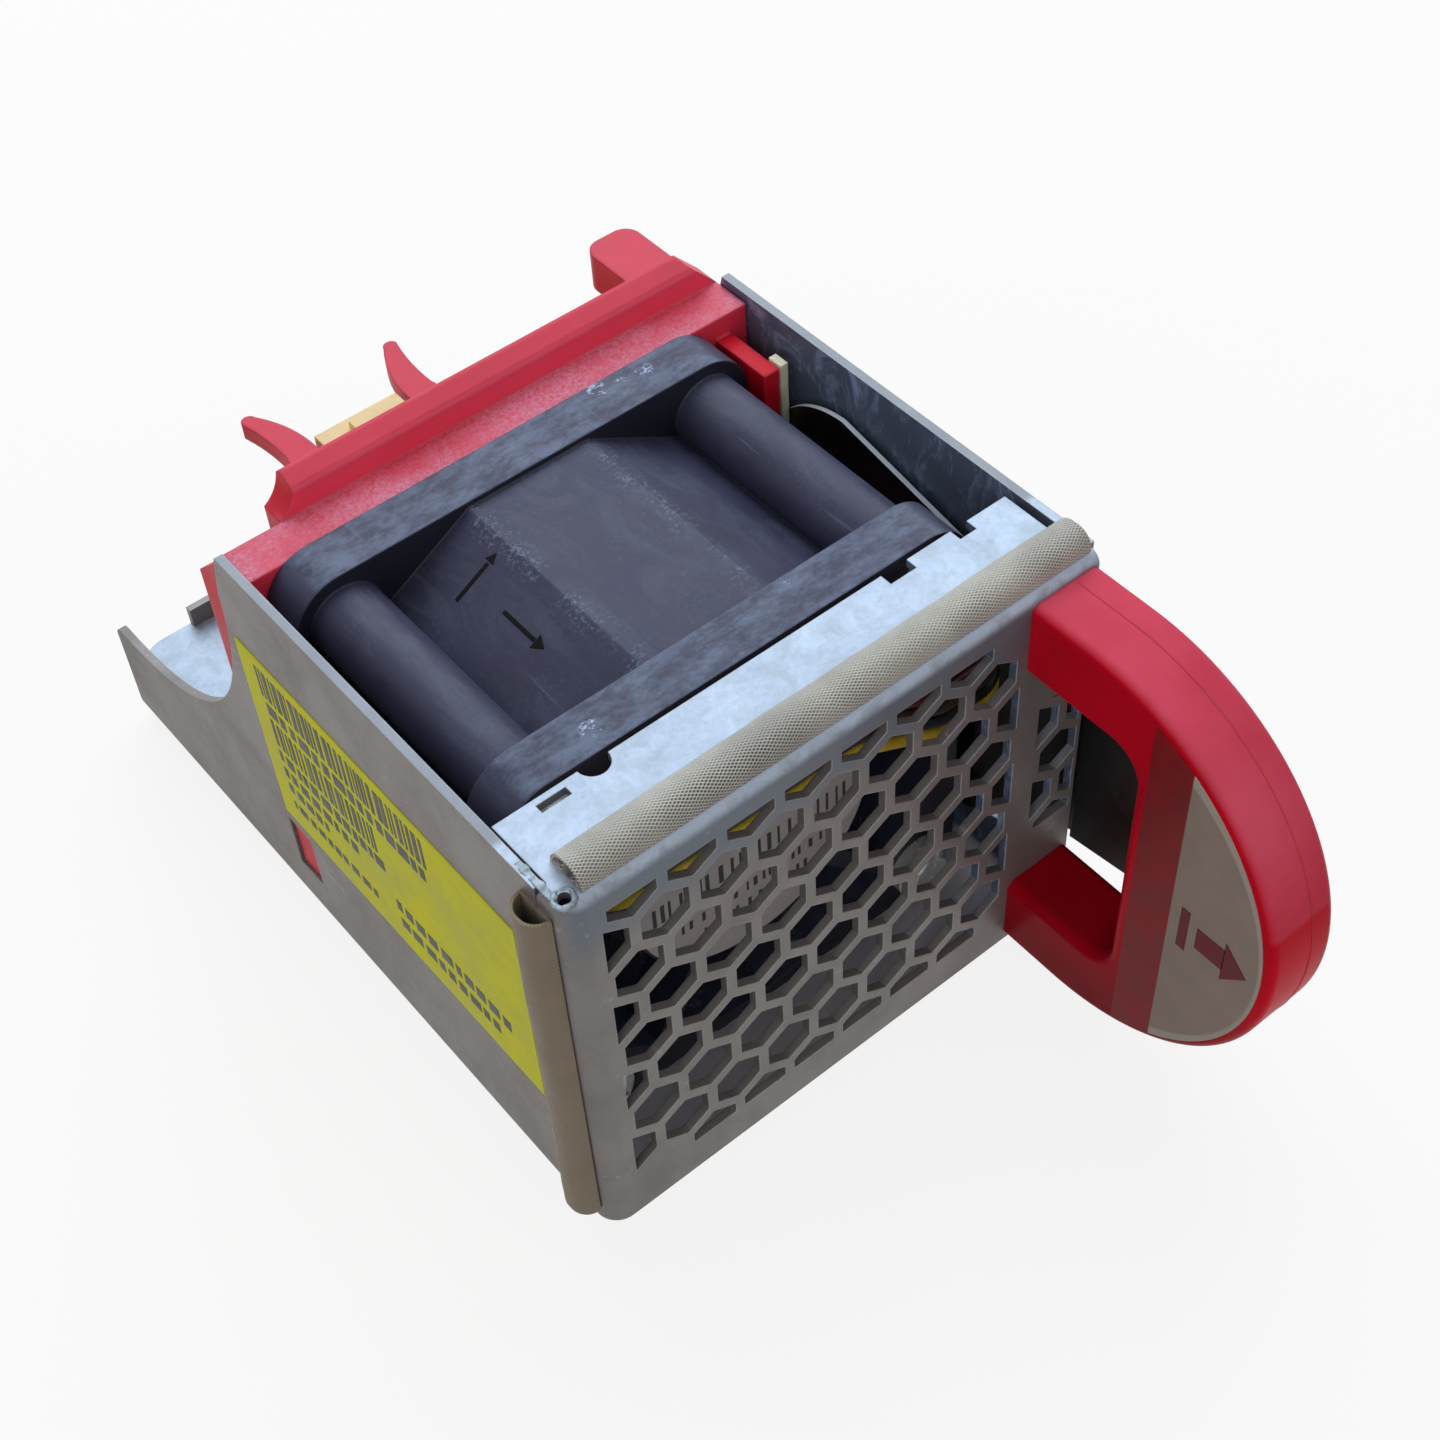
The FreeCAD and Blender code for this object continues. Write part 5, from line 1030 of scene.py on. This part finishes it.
class FANMODULE_OT_hub_print(bpy.types.Operator):
    """Print plain bars on the silver disc of the fan's hub"""

    bl_idname = "fan_module.hub_print"
    bl_label = "Hub print"

    def execute(self, context):
        low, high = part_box("hub_label")
        ink = sizes().ink
        chance = random.Random(sizes().bars_seed + 1)
        marks = Marks("hub_label_bars")
        centre = (low + high) / 2
        for up, tall, half in HUB_ROWS:
            at = -half
            while at < half:
                wide = chance.uniform(*HUB_WIDTHS)
                marks.block((centre.x + (at + wide / 2) * MM, low.y - ink / 2, centre.z + up * MM),
                            (wide * MM, ink, tall * MM))
                at += wide + chance.uniform(*HUB_GAPS)
        settle(marks.done(0.006 * MM), plain_finish("hub_ink", colours().ink, 0.5))
        return {"FINISHED"}


class FANMODULE_OT_fan_arrows(bpy.types.Operator):
    """Mould a spin arrow and an air-flow arrow on a facet of the fan's barrel"""

    bl_idname = "fan_module.fan_arrows"
    bl_label = "Fan arrows"

    def execute(self, context):
        low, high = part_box("fan_frame")
        deep = 0.05 * MM
        outwards = Vector((-math.sin(MARKED_TILT), 0, math.cos(MARKED_TILT)))
        sideways = Vector((math.cos(MARKED_TILT), 0, math.sin(MARKED_TILT)))
        flat = (low + high) / 2 + outwards * (BARREL_FLAT * MM)

        def on_facet(across, along):
            spot = flat + sideways * (across * MM)
            return (spot.x, along * MM, spot.z)

        marks = Marks("fan_arrows")
        turn = (0, -MARKED_TILT, 0)
        for (across, along, wide, tall), (tip_across, tip_along, radius), heading in FAN_ARROWS:
            marks.block(on_facet(across, along), (wide * MM, tall * MM, deep), turn)
            marks.point(on_facet(tip_across, tip_along), radius * MM, deep, turn, heading=heading)
        ink = plain_finish("arrow_black", colours().black, 0.7, shine=0.1)
        settle(marks.done(0.01 * MM), ink)
        return {"FINISHED"}


class FANMODULE_OT_corner_curl(bpy.types.Operator):
    """Crumple the lip round the hole in the plate's top left corner and the seam beside it"""

    bl_idname = "fan_module.corner_curl"
    bl_label = "Corner curl"

    def execute(self, context):
        s = sizes()
        low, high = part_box("front_plate")
        deselect()
        bpy.ops.mesh.primitive_torus_add(
            major_radius=s.curl_ring, minor_radius=s.curl_lip, major_segments=48, minor_segments=16,
            location=(low.x + 1.0 * MM, low.y + 1.0 * MM, high.z - s.curl_lip * 0.5))
        curl = named("corner_curl")
        dull = plain_finish(
            "crumpled_zinc", colours().tarnish, 0.45, metallic=0.35, pattern=0.8, swing=0.4)
        self.crumple(curl, s.curl_lip * 2.0, dull)
        bead = begin_box("corner_bead", (low.x + 0.2 * MM, low.y + 1.4 * MM, high.z - 0.15 * MM),
                         (low.x + 0.7 * MM, low.y + 5.0 * MM, high.z + 0.04 * MM))
        choose(bead, "edges", lambda e: abs(ends_of(bead, e)[0].y - ends_of(bead, e)[1].y) > MM)
        bpy.ops.mesh.subdivide(number_cuts=30)
        bpy.ops.mesh.select_all(action="SELECT")
        bpy.ops.mesh.subdivide(number_cuts=2)
        bpy.ops.object.mode_set(mode="OBJECT")
        self.crumple(bead, s.curl_lip * 1.8, dull)
        return {"FINISHED"}

    def crumple(self, piece, strength, finish):
        """Dent a piece unevenly and give it a finish."""
        folds = bpy.data.textures.new(piece.name + "_folds", "CLOUDS")
        folds.noise_scale = 0.5 * MM
        folds.noise_depth = 3
        dent = piece.modifiers.new("dent", "DISPLACE")
        dent.texture = folds
        dent.texture_coords = "LOCAL"
        dent.strength = strength
        dent.mid_level = 0.55
        apply_modifiers(piece)
        smooth(piece, 60)
        settle(piece, finish)


class FANMODULE_OT_stage(bpy.types.Operator):
    """Set the floor, the lights, the white surroundings and the camera"""

    bl_idname = "fan_module.stage"
    bl_label = "Stage"

    def execute(self, context):
        s = sizes()
        scene = context.scene
        deselect()
        bpy.ops.mesh.primitive_plane_add(size=s.floor, location=(0, 0, FLOOR_LEVEL))
        floor = context.object
        floor.name = "studio_floor"
        floor.data.materials.append(floor_finish())
        scene.world = bpy.data.worlds.new("studio")
        surround(scene.world)
        for row in LAMPS:
            lamp(*row)
        scene.view_settings.view_transform = "Standard"
        camera = bpy.data.cameras.new("photo_view")
        camera.sensor_width = SENSOR
        camera.lens = s.lens
        camera.clip_start = NEAREST
        holder = bpy.data.objects.new("photo_view", camera)
        holder.location = s.camera_at
        holder.rotation_euler = s.camera_turn
        scene.collection.objects.link(holder)
        scene.camera = holder
        return {"FINISHED"}


OPERATORS = (
    FANMODULE_OT_sheet, FANMODULE_OT_fan, FANMODULE_OT_bracket, FANMODULE_OT_leads, FANMODULE_OT_latch,
    FANMODULE_OT_handle, FANMODULE_OT_gaskets, FANMODULE_OT_side_label, FANMODULE_OT_pull_arrow,
    FANMODULE_OT_hub_print, FANMODULE_OT_fan_arrows, FANMODULE_OT_corner_curl, FANMODULE_OT_stage,
)


class FANMODULE_PT_panel(bpy.types.Panel):
    """Lists the module's pieces, sizes and colours"""

    bl_idname = "FANMODULE_PT_panel"
    bl_label = "Fan module"
    bl_space_type = "VIEW_3D"
    bl_region_type = "UI"
    bl_category = "Fan module"

    def draw(self, context):
        for operator in OPERATORS:
            self.layout.operator(operator.bl_idname)
        for group in (sizes(), colours()):
            for name in group.__annotations__:
                self.layout.prop(group, name)


CLASSES = (FanModuleSizes, FanModuleColours, *OPERATORS, FANMODULE_PT_panel)


def register():
    for item in CLASSES:
        bpy.utils.register_class(item)
    bpy.types.Scene.fan_module_sizes = PointerProperty(type=FanModuleSizes)
    bpy.types.Scene.fan_module_colours = PointerProperty(type=FanModuleColours)


def unregister():
    del bpy.types.Scene.fan_module_colours
    del bpy.types.Scene.fan_module_sizes
    for item in reversed(CLASSES):
        bpy.utils.unregister_class(item)


def main():
    register()
    for operator in OPERATORS:
        getattr(bpy.ops.fan_module, operator.bl_idname.split(".")[1])()


if __name__ == "__main__":
    main()
